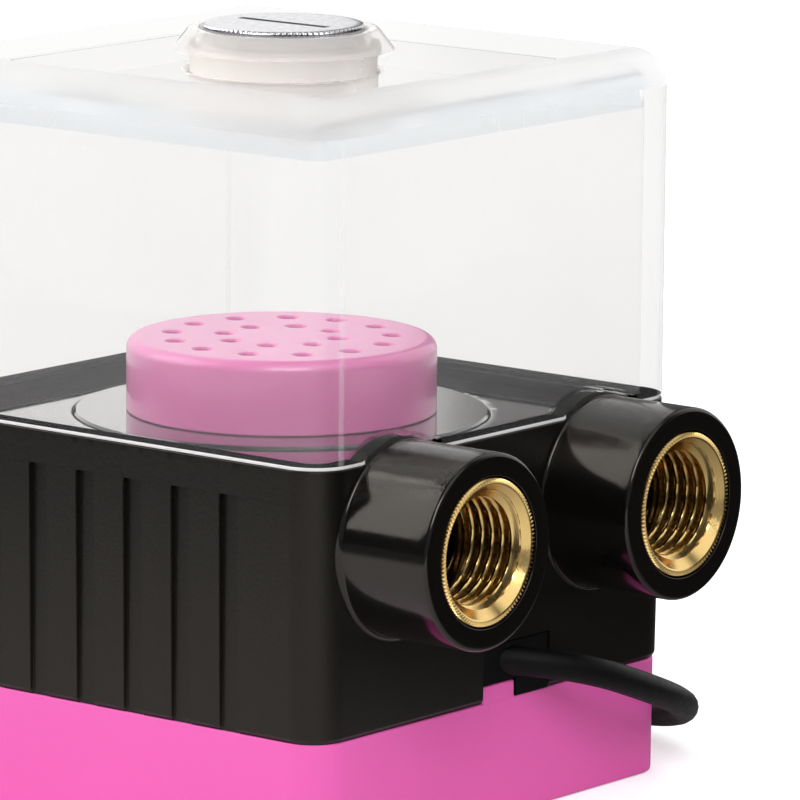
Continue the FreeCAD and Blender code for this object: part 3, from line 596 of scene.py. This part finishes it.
def finishes():
    """Every material of the unit by name, made once."""
    if "Black satin" in bpy.data.materials:
        return bpy.data.materials
    c = bpy.context.scene.pump_colours
    entering, leaving = 0.0, 1.0
    for row in (
            ("Clear tank", c.clear, 0.0, 1.01, 0.04, 0.25),
            # Rounded top edge: rough, with a painted grey shade.
            ("Clear round", c.dense, 0.55, 1.22, 0.05, 0.15, leaving),
            # Bluish ceiling edge: painted refraction.
            ("Clear ceiling edge", c.ceiling, 0.35, 1.15, 0.0, 0.0, entering),
            # Greyer corner tint: painted shade.
            ("Clear corner", c.corner, 0.0, 1.01, 0.04, 0.25),
            # Milky strip near each corner's end at the +X and -X sides: painted highlight.
            ("Clear corner line", c.corner, 0.1, 1.01, 0.18, 0.25),
            ("Clear roof", c.clear, 0.0, 1.01, 0.0, 0.0),
            ("Clear rim", c.neck, 0.08, 1.05, 0.32, 0.3),
            ("Clear neck", c.neck, 0.40, 1.05, 0.50, 0.1),
            ("Clear seal", c.seal, 0.30, 1.30, 0.85, 0.3, leaving)):
        clear_surface(*row)
    surface("Pink base", c.base, 0.42, grain=1400.0, shade=0.03, bump=0.05,
            subsurface_weight=0.08, subsurface_scale=0.001, specular_ior_level=0.25)
    surface("Pink cap", c.cap, 0.40, grain=1400.0, shade=0.04, bump=0.04,
            subsurface_weight=0.15, subsurface_scale=0.001, coat_weight=0.7, coat_roughness=0.12)
    surface("Black satin", c.black, 0.33, grain=2600.0, shade=0.15, spread=0.05, bump=0.10,
            specular_ior_level=0.34, specular_tint=(1.0, 0.9, 0.8, 1.0))
    surface("Black gloss", c.black, 0.12, grain=800.0, shade=0.15, spread=0.04, bump=0.015,
            specular_ior_level=0.45, specular_tint=(1.0, 0.92, 0.84, 1.0))
    surface("Black inner", c.inner, 0.32, grain=800.0, spread=0.04, bump=0.01,
            specular_ior_level=0.36, specular_tint=(0.88, 0.94, 1.0, 1.0))
    surface("Deck black", c.inner, 0.06, grain=800.0, spread=0.02, bump=0.0,
            coat_weight=1.0, coat_roughness=0.04)
    surface("Rubber", c.rubber, 0.55, grain=1800.0, shade=0.2, bump=0.08, specular_ior_level=0.12)
    surface("Jacket", c.rubber, 0.50, grain=1200.0, shade=0.2, bump=0.06, specular_ior_level=0.16)
    surface("Brass", c.brass, 0.18, 1.0, grain=2400.0, spread=0.07, bump=0.03,
            lines=("X", 0.00011, 0.35))
    surface("Plated", c.plated, 0.20, 1.0, grain=1500.0, shade=0.05, spread=0.05,
            lines=("R", 0.00016, 0.3))
    surface("Steel", c.steel, 0.32, 1.0, grain=1500.0, bump=0.03)
    surface("Lamination", c.steel, 0.45, 1.0, shade=0.15, bump=0.2, lines=("Z", 0.0005, 1.0))
    surface("Copper", c.copper, 0.30, 1.0, bump=0.2, lines=("Z", 0.00045, 1.0))
    surface("Board", c.board, 0.35, grain=500.0)
    surface("Nylon", c.nylon, 0.5, shade=0.05)
    surface("Ceramic", c.nylon, 0.18, shade=0.04)
    surface("Dark", c.dark, 0.45, grain=1200.0, shade=0.2)
    surface("Core", c.core, 0.45, grain=1200.0)
    surface("Connector", c.dark, 0.42, grain=1800.0, shade=0.2, bump=0.06)
    surface("Contact", c.plated, 0.25, 1.0)
    return bpy.data.materials


class PUMP_OT_tank(bpy.types.Operator):
    """Clear tank: one closed surface of square rings for the walls and round rings for the neck.

    A thin frosted sleeve inside the roof carries the neck's cloudy look through the clear slab.
    """

    bl_idname = "pump.tank"
    bl_label = "Clear tank"

    def execute(self, context):
        points, directions = outline(FLAT, arched_stops())
        wall_up = bend([(CORNER, FOOT_Z), (CORNER, FOOT_Z + FOOT_STEP), (CORNER, ROOF_Z - TOP_ROUND - 1),
                        (CORNER, ROOF_Z, TOP_ROUND), (0.2, ROOF_Z)], TOP_STEPS)
        neck = bend([(NECK_FOOT_R + 1.6, ROOF_Z), (NECK_FOOT_R, ROOF_Z, 0.5),
                     (NECK_R, TOP_Z, 0.35), (HEAD_POCKET_R, TOP_Z, 0.2),
                     (HEAD_POCKET_R, HEAD_SEAT_Z), (PLUG_BORE_R, HEAD_SEAT_Z, 0.2),
                     (PLUG_BORE_R, NECK_BOTTOM_Z, 0.2), (NECK_R, NECK_BOTTOM_Z, 0.5),
                     (NECK_R, CEILING_Z, 0.8), (NECK_R + 3.0, CEILING_Z)], NECK_STEPS)
        turns = np.linspace(0.0, TURN / 4, CEILING_POINTS)
        ceiling = np.column_stack([INNER - CEILING_ROUND * (1 - np.sin(turns)),
                                   CEILING_Z - CEILING_DROP * (1 - np.cos(turns))])
        wall_down = np.concatenate([[(0.05, CEILING_Z)], ceiling,
                                    [(INNER, FOOT_Z + FOOT_STEP), (INNER, FOOT_Z)]])
        rows = np.concatenate([square_rows(points, directions, wall_up),
                               round_rows(angles_of(points, directions), neck),
                               square_rows(points, directions, wall_down)])
        low, high = (FOOT_Z + band for band in FOOT_BAND)
        arch(rows, rows[:, :, 2] < low, ARCH_R)
        arch(rows, (rows[:, :, 2] > low) & (rows[:, :, 2] < high), ARCH_R + FOOT_STEP)
        slots = self.finish_numbers(directions, len(wall_up), len(neck), len(wall_down))
        sleeve = turned(oblong(NECK_R - SLEEVE_IN, NECK_R - SLEEVE_OUT, CEILING_Z - 0.3, ROOF_Z + 0.2), 96)
        grids = [(rows, True, slots), (sleeve, True, TANK_LOOKS.index("Clear neck"))]
        tank = shell("clear_tank", grids, TANK_LOOKS)
        finish(tank, "housing", ["reservoir_tank"])
        return {"FINISHED"}

    def finish_numbers(self, directions, up, neck, down):
        """Finish of each face: the neck is frosted; the top round gets a painted grey shade, the ceiling edge
        a painted bluish refraction, and the corners a painted grey shade with a painted highlight strip.
        """
        look = TANK_LOOKS.index
        slots = np.zeros((up + neck + down, len(directions)), int)
        wall_end = up - TOP_STEPS - 2
        foot_end = up + NECK_STEPS + 1
        seat = foot_end + 2 * (NECK_STEPS + 1) + 2
        under = up + neck
        edge_end = under + CEILING_POINTS
        for start, end, name in ((wall_end, up - 2, "Clear round"), (up - 2, foot_end, "Clear roof"),
                                 (foot_end, seat, "Clear rim"), (seat, under - 2, "Clear neck"),
                                 (under - 2, under + 2, "Clear roof"),
                                 (under + 2, edge_end, "Clear ceiling edge")):
            slots[start:end] = look(name)
        lean = np.degrees(np.arctan2(np.abs(directions[:, 1]), np.abs(directions[:, 0])))
        lean = (lean + np.roll(lean, -1)) / 2
        corner = (lean > 1.0) & (lean < 89.0)
        # Painted shade: the corner arcs of the outer and inner walls take the greyer corner tint.
        slots[:wall_end, corner] = look("Clear corner")
        # Painted highlight: a milky strip on each outer corner, 9 to 20 degrees round from the +X and -X
        # sides.
        slots[:wall_end, (lean > 9.0) & (lean < 20.0)] = look("Clear corner line")
        slots[edge_end:, corner] = look("Clear corner")
        slots[-1] = look("Clear roof")
        return slots


class PUMP_OT_seal(bpy.types.Operator):
    """Clear joint under the tank: square rings, lifted over the ports between boss and tank."""

    bl_idname = "pump.seal"
    bl_label = "Clear joint"

    def execute(self, context):
        points, directions = outline(FLAT, arched_stops())
        profile = oblong(INNER, CORNER - JOINT_INSET, RIM_Z + JOINT_LIFT, FOOT_Z)
        rows = square_rows(points, directions, profile)
        arch(rows, rows[:, :, 2] < FOOT_Z - 0.1, BOSS_FLARE + JOINT_LIFT)
        arch(rows, np.arange(len(rows))[:, None] > 1, ARCH_R)
        beside = np.abs(points[:, 1:] - np.array([PORT_YS])).min(1) > JOINT_LINE_GAP
        slots = np.zeros(rows.shape[:2], int)
        slots[:2] = beside | (directions[:, 0] < 0.99)
        seal = shell("clear_seal", [(rows, True, slots)], ("Clear roof", "Clear seal"))
        finish(seal, "housing", ["tank_gasket"])
        return {"FINISHED"}


class PUMP_OT_housing(bpy.types.Operator):
    """Black housing: ribbed wall, deck and chamber as one closed surface, and the port bosses."""

    bl_idname = "pump.housing"
    bl_label = "Black housing"

    def execute(self, context):
        edge = context.scene.pump_sizes.groove_round / MM
        even = even_stops()
        near = np.array(GROOVE_EDGE) * edge
        grooves = np.concatenate([x + side * GROOVE_HALF + near for x in GROOVE_X for side in (-1, 1)])
        kept = even[np.abs(even[:, None] - grooves[None]).min(1) > 0.3]
        minus_y = np.sort(np.concatenate([kept, grooves]))
        points, directions = outline(FLAT, (even, -minus_y[::-1], even, minus_y))
        angles = angles_of(points, directions)
        wall_up = np.concatenate([
            bend([(SKIRT_FOOT_R, SEAM_Z), (SKIRT_R, SEAM_Z + SKIRT_TOP, 0.25),
                  (DRAFT_R, SEAM_Z + DRAFT_TOP)], 4),
            [(BAND_R, GROOVE_TOP_Z + step) for step in (-0.3, -0.06, 0.06, 0.3)],
            bend([(UNDER_RIM_R, RIM_Z - 1.0), (CORNER, RIM_Z, 0.15), (INNER, RIM_Z, 0.15),
                  (INNER, DECK_Z)], 3),
        ])
        outer = square_rows(points, directions, wall_up)
        self.groove(outer, edge)
        spiral = VOLUTE_START + VOLUTE_GROWTH * ((angles + TURN / 4) % TURN) / (TURN / 4)
        volute = [np.column_stack([spiral * np.cos(angles), spiral * np.sin(angles), np.full(len(angles), z)])
                  for z in (COVER_SEAT_Z, CHAMBER_Z)]
        pocket = POCKET_HALF - FLAT
        rows = np.concatenate([
            outer,
            round_rows(angles, bend([(COVER_POCKET_R + 1.0, DECK_Z), (COVER_POCKET_R, DECK_Z, 0.15),
                                     (COVER_POCKET_R, COVER_SEAT_Z)], 3)),
            volute,
            round_rows(angles, [(CAN_POCKET_R, CHAMBER_Z), (CAN_POCKET_R, CAN_SEAT_Z)]),
            square_rows(points, directions, [(pocket, CAN_SEAT_Z), (pocket, SEAM_Z)]),
        ])
        satin, inner, deck = range(3)
        numbers = np.where(np.arange(len(rows)) < len(outer) - 2, satin, deck)
        numbers[len(outer) - 6:len(outer) - 1] = inner
        post = oblong(POST_BORE_R, POST_R, SEAM_Z, CAN_SEAT_Z + 0.5)
        posts = [(turned(post, 32, at=place), True, satin) for place in POSTS]
        housing = shell("black_housing", [(rows, True, numbers)] + posts,
                        ("Black satin", "Black inner", "Deck black"))
        cut(housing, self.cutters())
        finish(housing, "housing", ["pump_housing"])
        rings = [self.boss(y) for y in PORT_YS]
        bosses = shell("port_bosses", [(ring, True, np.arange(len(ring)) < 2) for ring in rings],
                       ("Black gloss", "Rubber"))
        finish(bosses, "housing", [])
        return {"FINISHED"}

    def groove(self, rows, edge):
        """Sinks the wall to the groove floor where the distance to a groove's middle is below its half."""
        low = rows[:, :, 2] < GROOVE_TOP_Z
        for x in GROOVE_X:
            share = smooth(0.5 + 0.62 * (GROOVE_HALF - np.abs(rows[:, :, 0] - x)) / edge)
            depth = np.maximum(0.0, np.abs(rows[:, :, 1]) - GROOVE_FLOOR) * share * low
            rows[:, :, 1] -= np.sign(rows[:, :, 1]) * depth

    def boss(self, y):
        """Closed rings about a port axis: hollow round from the wall, rounded mouth, insert's pocket.

        The hollow round keeps under the housing's rim, so a ring's radius there is at most (rim - port
        height) / sine of its angle, and it starts from the sloping wall and its rounded corner.
        """
        angles = round_angles(240)
        cosine, sine = np.cos(angles), np.sin(angles)
        under_rim = np.where(sine > 0.0, (RIM_Z - PORT_Z) / np.maximum(1e-6, sine), 99.0)
        root = [(HALF - WALL, BOSS_R + BOSS_FILLET, 0.0)]
        for t in np.linspace(0.0, TURN / 4, 10):
            root.append((HALF + BOSS_FILLET * (1 - math.cos(t)), BOSS_R + BOSS_FILLET * (1 - math.sin(t)),
                         math.cos(t)))
        level = np.ones(len(angles))
        along = [(HALF - WALL) * level]
        radius = [PASSAGE_R * level]
        for x, wide, share in root:
            r = np.minimum(wide, under_rim)
            r = np.maximum(r, np.interp(x, [HALF - 0.2, HALF + 0.1], [BOSS_FLARE, BOSS_R]))
            reach = np.interp(PORT_Z + r * sine,
                              [SEAM_Z + SKIRT_TOP, SEAM_Z + DRAFT_TOP, GROOVE_TOP_Z, RIM_Z],
                              [SKIRT_R, DRAFT_R, BAND_R, CORNER])
            past = np.maximum(0.0, np.abs(y + r * cosine) - FLAT)
            along.append(x - share * (CORNER - np.sqrt(reach ** 2 - past ** 2)))
            radius.append(r)
        pocket_r, pocket_x = INSERT_R + 0.05, INSERT_INNER - 0.05
        for r, x in bend([(BOSS_R, HALF + BOSS_FILLET + 0.6), (BOSS_R, PORT_FACE - 2.0),
                          (BOSS_R, PORT_FACE, 0.5), (pocket_r, PORT_FACE, 0.1), (pocket_r, pocket_x),
                          (PASSAGE_R, pocket_x)], 7):
            along.append(x * level)
            radius.append(r * level)
        return swept(np.array(radius), np.array(along), angles, "x", (y, PORT_Z))

    def cutters(self):
        """Passages to both ports, the way up to the deck and the notch for the lead."""
        low, high = RETURN_X
        far = PORT_YS[1]
        grids = [turned(oblong(0.0, PASSAGE_R, start, HALF + 2.0), 64, "x", (y, PORT_Z))
                 for y, start in zip(PORT_YS, (OUTLET_START_X, low))]
        grids.append(block((low, far - PASSAGE_R, PORT_Z), (high, far + PASSAGE_R, DECK_Z + 0.6), 0.2))
        grids.append(block(NOTCH_LOW, NOTCH_HIGH, 0.15))
        return [shell("cut", [(grid, False, 0)]) for grid in grids]


class PUMP_OT_filter(bpy.types.Operator):
    """Pink filter cap: a turned cup with two rings of rounded holes through its top."""

    bl_idname = "pump.filter"
    bl_label = "Filter cap"

    def execute(self, context):
        radius, low, high = CAP_HIGH[0], CAP_LOW[2], CAP_HIGH[2]
        inner = radius - FILTER_WALL
        profile = bend([(0.0, high), (radius, high, 1.3), (radius, low, 0.25), (inner, low, 0.15),
                        (inner, high - FILTER_TOP, 0.4), (0.0, high - FILTER_TOP)], 8)
        cap = shell("pink_filter_cap", [(turned(profile, 144), False, 0)], ["Pink cap"])
        mouth = context.scene.pump_sizes.hole_round / MM
        hole = [(0.0, high - 3.0), (FILTER_HOLE_R, high - 3.0)]
        hole += [(FILTER_HOLE_R + mouth * (1 - math.cos(b)), high - mouth + mouth * math.sin(b))
                 for b in np.linspace(0.0, TURN / 4, 6)]
        hole += [(FILTER_HOLE_R + mouth, high + 0.5), (0.0, high + 0.5)]
        grids = []
        for ring, number, start in FILTER_RINGS:
            for i in range(number):
                angle = math.radians(start + 360.0 * i / number)
                at = (ring * math.cos(angle), ring * math.sin(angle))
                grids.append((turned(hole, 28, at=at), False, 0))
        cut(cap, [shell("cut_holes", grids)])
        finish(cap, "housing", ["filter_cap"])
        return {"FINISHED"}


class PUMP_OT_plug(bpy.types.Operator):
    """Fill plug: turned head with a toothed edge and a coin slot, on a threaded shank."""

    bl_idname = "pump.plug"
    bl_label = "Fill plug"

    def execute(self, context):
        sizes = context.scene.pump_sizes
        columns = 4 * sizes.head_teeth
        angles = round_angles(columns)
        head_r, top, low, under = PLUG_HIGH[0], PLUG_HIGH[2], PLUG_LOW[2], SEAL_HIGH[2]
        pitch = sizes.thread_pitch / MM
        profile = np.concatenate([
            [(0.0, top), (head_r - 1.5, top)],
            bend([(head_r - 1.2, top), (head_r, top, 0.4), (head_r, top - 1.0)], 5),
            bend([(head_r, under + 0.8), (head_r, under, 0.3), (head_r - 1.0, under)], 4),
            [(SHANK_R, under)],
            [(SHANK_R, z) for z in np.arange(under - 0.2, low + 0.8, -pitch / 12)],
            [(SHANK_R - 0.8, low), (0.0, low)],
        ])
        radius, along = tables(profile, columns)
        side = np.clip((radius - (head_r - 0.3)) / 0.2, 0.0, 1.0)
        radius = radius - side * (sizes.head_knurl / MM) * zigzag(angles * sizes.head_teeth / TURN)[None]
        screwed = (along < under - 0.1) & (along > low + 0.7) & (radius > 1.0)
        phase = along / pitch - angles[None] / TURN
        radius = radius - np.where(screwed, (sizes.shank_depth / MM) * (1.0 - ridge(phase)), 0.0)
        plug = shell("plated_plug", [(swept(radius, along, angles), False, 0)], ["Plated"])
        wide, thick = SLOT_HALF
        slot = block((-wide, -thick, top - SLOT_DEPTH), (wide, thick, top + 2.0), 0.2)
        cut(plug, [shell("cut_slot", [(slot, False, 0)])])
        finish(plug, "plug", ["fill_plug"], sharp=40.0)
        return {"FINISHED"}


class PUMP_OT_inserts(bpy.types.Operator):
    """Brass inserts: toothed rim, chamfered mouth and a helical inner thread."""

    bl_idname = "pump.inserts"
    bl_label = "Brass inserts"

    def execute(self, context):
        for name, node, y in zip(("brass_outlet", "brass_inlet"), ("outlet_insert", "inlet_insert"), PORT_YS):
            insert = shell(name, [(self.bush(context.scene.pump_sizes, y), True, 0)], ["Brass"])
            finish(insert, "housing", [node], sharp=38.0)
        return {"FINISHED"}

    def bush(self, sizes, y):
        """Rings about a port axis, with teeth round the rim and a thread in the bore.

        Bore radius = root - depth * ridge(place / pitch - angle), never under the mouth's cone.
        """
        columns = 4 * sizes.insert_teeth
        angles = round_angles(columns)
        pitch = sizes.thread_pitch / MM
        depth = sizes.thread_depth / MM
        level = np.ones(columns)
        dip = zigzag(angles * sizes.insert_teeth / TURN)
        toothed = INSERT_R - (sizes.insert_knurl / MM) * dip
        land = [(INSERT_INNER * level, toothed),
                ((PORT_FACE - 0.35) * level, toothed),
                (PORT_FACE - 0.05 - 0.25 * dip, (INSERT_R - 0.2) * level),
                (PORT_FACE - 0.22 * dip, (MOUTH_R + 0.25) * level),
                (PORT_FACE * level, (MOUTH_R + 0.1) * level)]
        step = pitch / 14
        places = np.concatenate([PORT_FACE - np.linspace(0.03, MOUTH_DEPTH, 28),
                                 np.arange(PORT_FACE - MOUTH_DEPTH - step, INSERT_INNER + 0.05, -step),
                                 [INSERT_INNER]])
        along = np.repeat(places[:, None], columns, 1)
        thread = BORE_R + depth - depth * ridge(along / pitch - angles[None] / TURN)
        bore = np.maximum(thread, MOUTH_R - (PORT_FACE - along))
        along = np.concatenate([[x for x, _ in land], along])
        radius = np.concatenate([[r for _, r in land], bore])
        return swept(radius, along, angles, "x", (y, PORT_Z))


class PUMP_OT_base(bpy.types.Operator):
    """Pink base: a tray of square rings with rounded edges, screw posts and the tab under the lead."""

    bl_idname = "pump.base"
    bl_label = "Pink base"

    def execute(self, context):
        reach = BASE_HIGH[0]
        flat = reach - CORNER
        points, directions = outline(flat, (even_stops() * flat / FLAT,) * 4)
        angles = angles_of(points, directions)
        wall = bend([(1.5, 0.0), (CORNER - 0.05, 0.0, 0.35), (CORNER, SEAM_Z, 0.2),
                     (CORNER - BASE_WALL + 0.05, SEAM_Z, 0.2), (CORNER - BASE_WALL, BASE_FLOOR, 0.3),
                     (0.8, BASE_FLOOR)], 6)
        rows = np.concatenate([round_rows(angles, [(0.0, 0.0), (BASE_MIDDLE_R, 0.0)]),
                               square_rows(points, directions, wall),
                               round_rows(angles, [(BASE_MIDDLE_R, BASE_FLOOR), (0.0, BASE_FLOOR)])])
        base = shell("pink_base_tray", [(rows, False, 0)], ["Pink base"])
        hole = oblong(0.0, POST_R - 0.3, -1.0, 4.0)
        post = bend([(SCREW_HEAD_R, 0.6), (SCREW_HEAD_R, 0.0, 0.2), (POST_R, 0.0), (POST_R, SEAM_Z),
                     (SCREW_R, SEAM_Z), (SCREW_R, SCREW_HEAD_Z), (SCREW_HEAD_R, SCREW_HEAD_Z),
                     (SCREW_HEAD_R, 0.6)], 4)[:-1]
        cut(base, [shell("cut_posts", [(turned(hole, 40, at=place), False, 0) for place in POSTS])])
        finish(base, "housing", ["base_cover"])
        tab = block((reach - 3.7, -TAB_HALF, SEAM_Z - 1.8), (reach - 0.02, TAB_HALF, BASE_HIGH[2]), 0.3)
        posts = [(turned(post, 40, at=place), True, 0) for place in POSTS]
        fitted = shell("pink_base_posts", posts + [(tab, False, 0)], ["Pink base"])
        finish(fitted, "housing", [])
        return {"FINISHED"}


class PUMP_OT_lead(bpy.types.Operator):
    """Black lead: one curve from the notch along the floor into a tied coil and to its plug."""

    bl_idname = "pump.lead"
    bl_label = "Lead"

    def execute(self, context):
        diameter = context.scene.pump_sizes.lead_diameter
        route = np.array(self.route(diameter / MM)) * MM
        curve = bpy.data.curves.new("black_lead", "CURVE")
        curve.dimensions = "3D"
        curve.bevel_depth = diameter / 2
        curve.bevel_resolution = 6
        curve.resolution_u = 10
        curve.use_fill_caps = True
        spline = curve.splines.new("NURBS")
        spline.points.add(len(route) - 1)
        spline.points.foreach_set("co", np.column_stack([route, np.ones(len(route))]).ravel())
        spline.order_u = 3
        spline.use_endpoint_u = True
        curve.materials.append(finishes()["Jacket"])
        lead = bpy.data.objects.new("black_lead", curve)
        context.scene.collection.objects.link(lead)
        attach(lead, "housing")
        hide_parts("power_cable", "cable_coil", "cable_tail")
        return {"FINISHED"}

    def route(self, thick):
        """Points of the lead: its way to the coil, the coil's turns and its end.

        The height of the turns steps up by one diameter at each crossing.
        """
        turns = np.arange(1, COIL_TURNS * COIL_POINTS) * 360.0 / COIL_POINTS
        step = np.floor((turns + 90.0) / 360.0)
        share = smooth(((turns + 90.0) % 360.0) / CROSSING)
        rise = np.where(step > 0, step - 1 + share, 0.0)
        angle = np.radians(-90.0 - turns)
        x, y = COIL_CENTRE
        coil = np.column_stack([x + COIL_R * np.cos(angle), y + COIL_R * np.sin(angle),
                                COIL_Z + rise * (thick + COIL_GAP)])
        return list(LEAD_ROUTE) + [(x, y - COIL_R, COIL_Z)] + [tuple(p) for p in coil] + list(TAIL_ROUTE)


class PUMP_OT_fittings(bpy.types.Operator):
    """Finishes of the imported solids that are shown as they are."""

    bl_idname = "pump.fittings"
    bl_label = "Fittings"

    def execute(self, context):
        table = {
            "fill_plug_seal": "Clear seal", "volute_cover": "Deck black",
            "rotor_can": "Black gloss", "can_gasket": "Rubber", "can_screws": "Steel", "impeller": "Nylon",
            "rotor_magnet": "Dark", "rotor_bushes": "Ceramic", "rotor_shaft": "Ceramic",
            "thrust_washers": "Ceramic", "stator_core": "Lamination", "stator_bobbins": "Nylon",
            "stator_windings": "Copper", "circuit_board": "Board", "board_components": "Dark",
            "case_screws": "Steel", "cable_grommet": "Rubber", "lead_wires": "Core", "cable_tie": "Rubber",
            "connector_housing": "Connector", "connector_contacts": "Contact",
        }
        for node, name in table.items():
            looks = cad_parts[node].data.materials
            looks.clear()
            looks.append(finishes()[name])
        return {"FINISHED"}


class PUMP_OT_stage(bpy.types.Operator):
    """Pale floor, soft studio light and a camera at the photograph's angle."""

    bl_idname = "pump.stage"
    bl_label = "Stage"

    def execute(self, context):
        self.camera(context.scene)
        self.floor(context.scene)
        self.world(context.scene)
        for row in LAMPS:
            self.lamp(context.scene, *row)
        context.scene.view_settings.view_transform = "Standard"
        return {"FINISHED"}

    def camera(self, scene):
        """Camera where the photograph's was: turned and raised, moved in that frame, then rolled."""
        azimuth, elevation, roll = (math.radians(angle) for angle in CAMERA_TURN)
        data = bpy.data.cameras.new("Camera")
        data.sensor_width = SENSOR
        data.lens = SENSOR * CAMERA_FOCUS / PICTURE
        camera = bpy.data.objects.new("Camera", data)
        scene.collection.objects.link(camera)
        turn = Matrix.Rotation(azimuth, 4, "Z") @ Matrix.Rotation(TURN / 4 - elevation, 4, "X")
        move = Matrix.Translation([place * MM for place in CAMERA_PLACE])
        camera.matrix_world = turn @ move @ Matrix.Rotation(roll, 4, "Z")
        scene.camera = camera

    def floor(self, scene, reach=4.0, below=0.0001):
        """Pale floor: painted shade by place where the object's gloss reflects it, and white where it is seen
        through clear pieces.
        """
        mesh = bpy.data.meshes.new("Floor")
        mesh.from_pydata([(-reach, -reach, 0), (reach, -reach, 0), (reach, reach, 0), (-reach, reach, 0)],
                         [], [(0, 1, 2, 3)])
        floor = bpy.data.objects.new("Floor", mesh)
        scene.collection.objects.link(floor)
        floor.location.z = -below
        material = bpy.data.materials.new("Floor")
        nodes = Nodes(material)
        place = nodes.add("ShaderNodeTexCoord").outputs["Object"]
        noise = nodes.add("ShaderNodeTexNoise", {"Vector": place, "Scale": 300.0})
        pale = nodes.blend(noise.outputs["Fac"], opaque((0.88,) * 3), opaque((0.91,) * 3))
        path = nodes.add("ShaderNodeLightPath").outputs
        # Painted shade: in glossy reflections only, the floor turns dark towards +X +Y, and beyond 0.24 m
        # towards -X -Y.
        front = nodes.along(place, (-0.62, -0.78, 0.0))
        dim = nodes.calc("MAXIMUM", nodes.ramp(front, -0.10, 0.0, 0.97, 0.0),
                         nodes.ramp(front, 0.14, 0.24, 0.0, 0.85))
        bounced = nodes.calc("MULTIPLY", path["Is Reflection Ray"], path["Is Glossy Ray"])
        shown = nodes.blend(nodes.calc("MULTIPLY", dim, bounced), pale, opaque((0.0,) * 3))
        straight = seen_straight(nodes, path)
        matte = nodes.add("ShaderNodeBsdfDiffuse", {"Color": shown})
        glow = nodes.add("ShaderNodeEmission", {"Strength": nodes.calc("MULTIPLY", straight, 0.45)})
        both = nodes.add("ShaderNodeAddShader", {0: matte.outputs[0], 1: glow.outputs[0]})
        white = nodes.add("ShaderNodeEmission", {"Strength": 1.0})
        through = nodes.calc("SUBTRACT", straight, path["Is Camera Ray"])
        seen = nodes.add("ShaderNodeMixShader", {0: through, 1: both.outputs[0], 2: white.outputs[0]})
        nodes.add("ShaderNodeOutputMaterial", {"Surface": seen.outputs[0]})
        mesh.materials.append(material)

    def world(self, scene):
        """Bright behind and above, dim in front, a dark strip to the right; white where seen straight."""
        world = bpy.data.worlds.new("Studio")
        scene.world = world
        nodes = Nodes(world)
        place = nodes.add("ShaderNodeTexCoord").outputs["Generated"]
        toward = nodes.along(place, (-0.62, 0.78, 0.0))
        across = nodes.along(place, (0.7812, 0.6243, 0.0))
        upward = nodes.along(place, (0.5, -0.1, 0.86))
        beside = nodes.calc("MAXIMUM", nodes.ramp(across, -0.005, 0.015, 1.0, 0.15),
                            nodes.ramp(across, 0.25, 0.35, 0.0, 1.0))
        backdrop = nodes.calc("MULTIPLY", nodes.ramp(toward, 0.05, 0.4, 0.05, 1.2), beside)
        level = nodes.calc("MAXIMUM", backdrop, nodes.ramp(toward, -0.45, -0.8, 0.05, 0.3))
        level = nodes.calc("MAXIMUM", level, nodes.ramp(upward, 0.8, 0.95, 0.0, 1.2))
        straight = seen_straight(nodes, nodes.add("ShaderNodeLightPath").outputs)
        back = nodes.add("ShaderNodeBackground", {"Color": opaque((1.0,) * 3),
                                                  "Strength": nodes.calc("MAXIMUM", straight, level)})
        nodes.add("ShaderNodeOutputWorld", {"Surface": back.outputs[0]})

    def lamp(self, scene, name, place, aim, size, power):
        """Square lamp of that size in metres, turned to its aim."""
        data = bpy.data.lights.new(name, "AREA")
        data.energy = power
        data.size = size
        lamp = bpy.data.objects.new(name, data)
        scene.collection.objects.link(lamp)
        lamp.location = place
        lamp.rotation_euler = (Vector(aim) - Vector(place)).to_track_quat("-Z", "Y").to_euler()


class PUMP_PT_panel(bpy.types.Panel):
    """Sidebar panel with the sizes, the colours and one button per piece."""

    bl_idname = "PUMP_PT_panel"
    bl_label = "Pump and reservoir"
    bl_space_type = "VIEW_3D"
    bl_region_type = "UI"
    bl_category = "Pump"

    def draw(self, context):
        column = self.layout.column()
        for group in (context.scene.pump_sizes, context.scene.pump_colours):
            for key in group.__annotations__:
                column.prop(group, key, text=key.replace("_", " ").capitalize())
        for operator in PIECES:
            column.operator(operator.bl_idname)


PIECES = (PUMP_OT_tank, PUMP_OT_seal, PUMP_OT_housing, PUMP_OT_filter, PUMP_OT_plug, PUMP_OT_inserts,
          PUMP_OT_base, PUMP_OT_lead, PUMP_OT_fittings, PUMP_OT_stage)
CLASSES = (PumpSizes, PumpColours) + PIECES + (PUMP_PT_panel,)


def register():
    """Adds the classes and the two groups of settings."""
    for made in CLASSES:
        bpy.utils.register_class(made)
    bpy.types.Scene.pump_sizes = bpy.props.PointerProperty(type=PumpSizes)
    bpy.types.Scene.pump_colours = bpy.props.PointerProperty(type=PumpColours)


def unregister():
    """Takes them away again."""
    del bpy.types.Scene.pump_colours
    del bpy.types.Scene.pump_sizes
    for made in reversed(CLASSES):
        bpy.utils.unregister_class(made)


def main():
    """Builds every piece and the stage."""
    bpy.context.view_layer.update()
    register()
    bpy.ops.pump.tank()
    bpy.ops.pump.seal()
    bpy.ops.pump.housing()
    bpy.ops.pump.filter()
    bpy.ops.pump.plug()
    bpy.ops.pump.inserts()
    bpy.ops.pump.base()
    bpy.ops.pump.lead()
    bpy.ops.pump.fittings()
    bpy.ops.pump.stage()


if __name__ == "__main__":
    main()
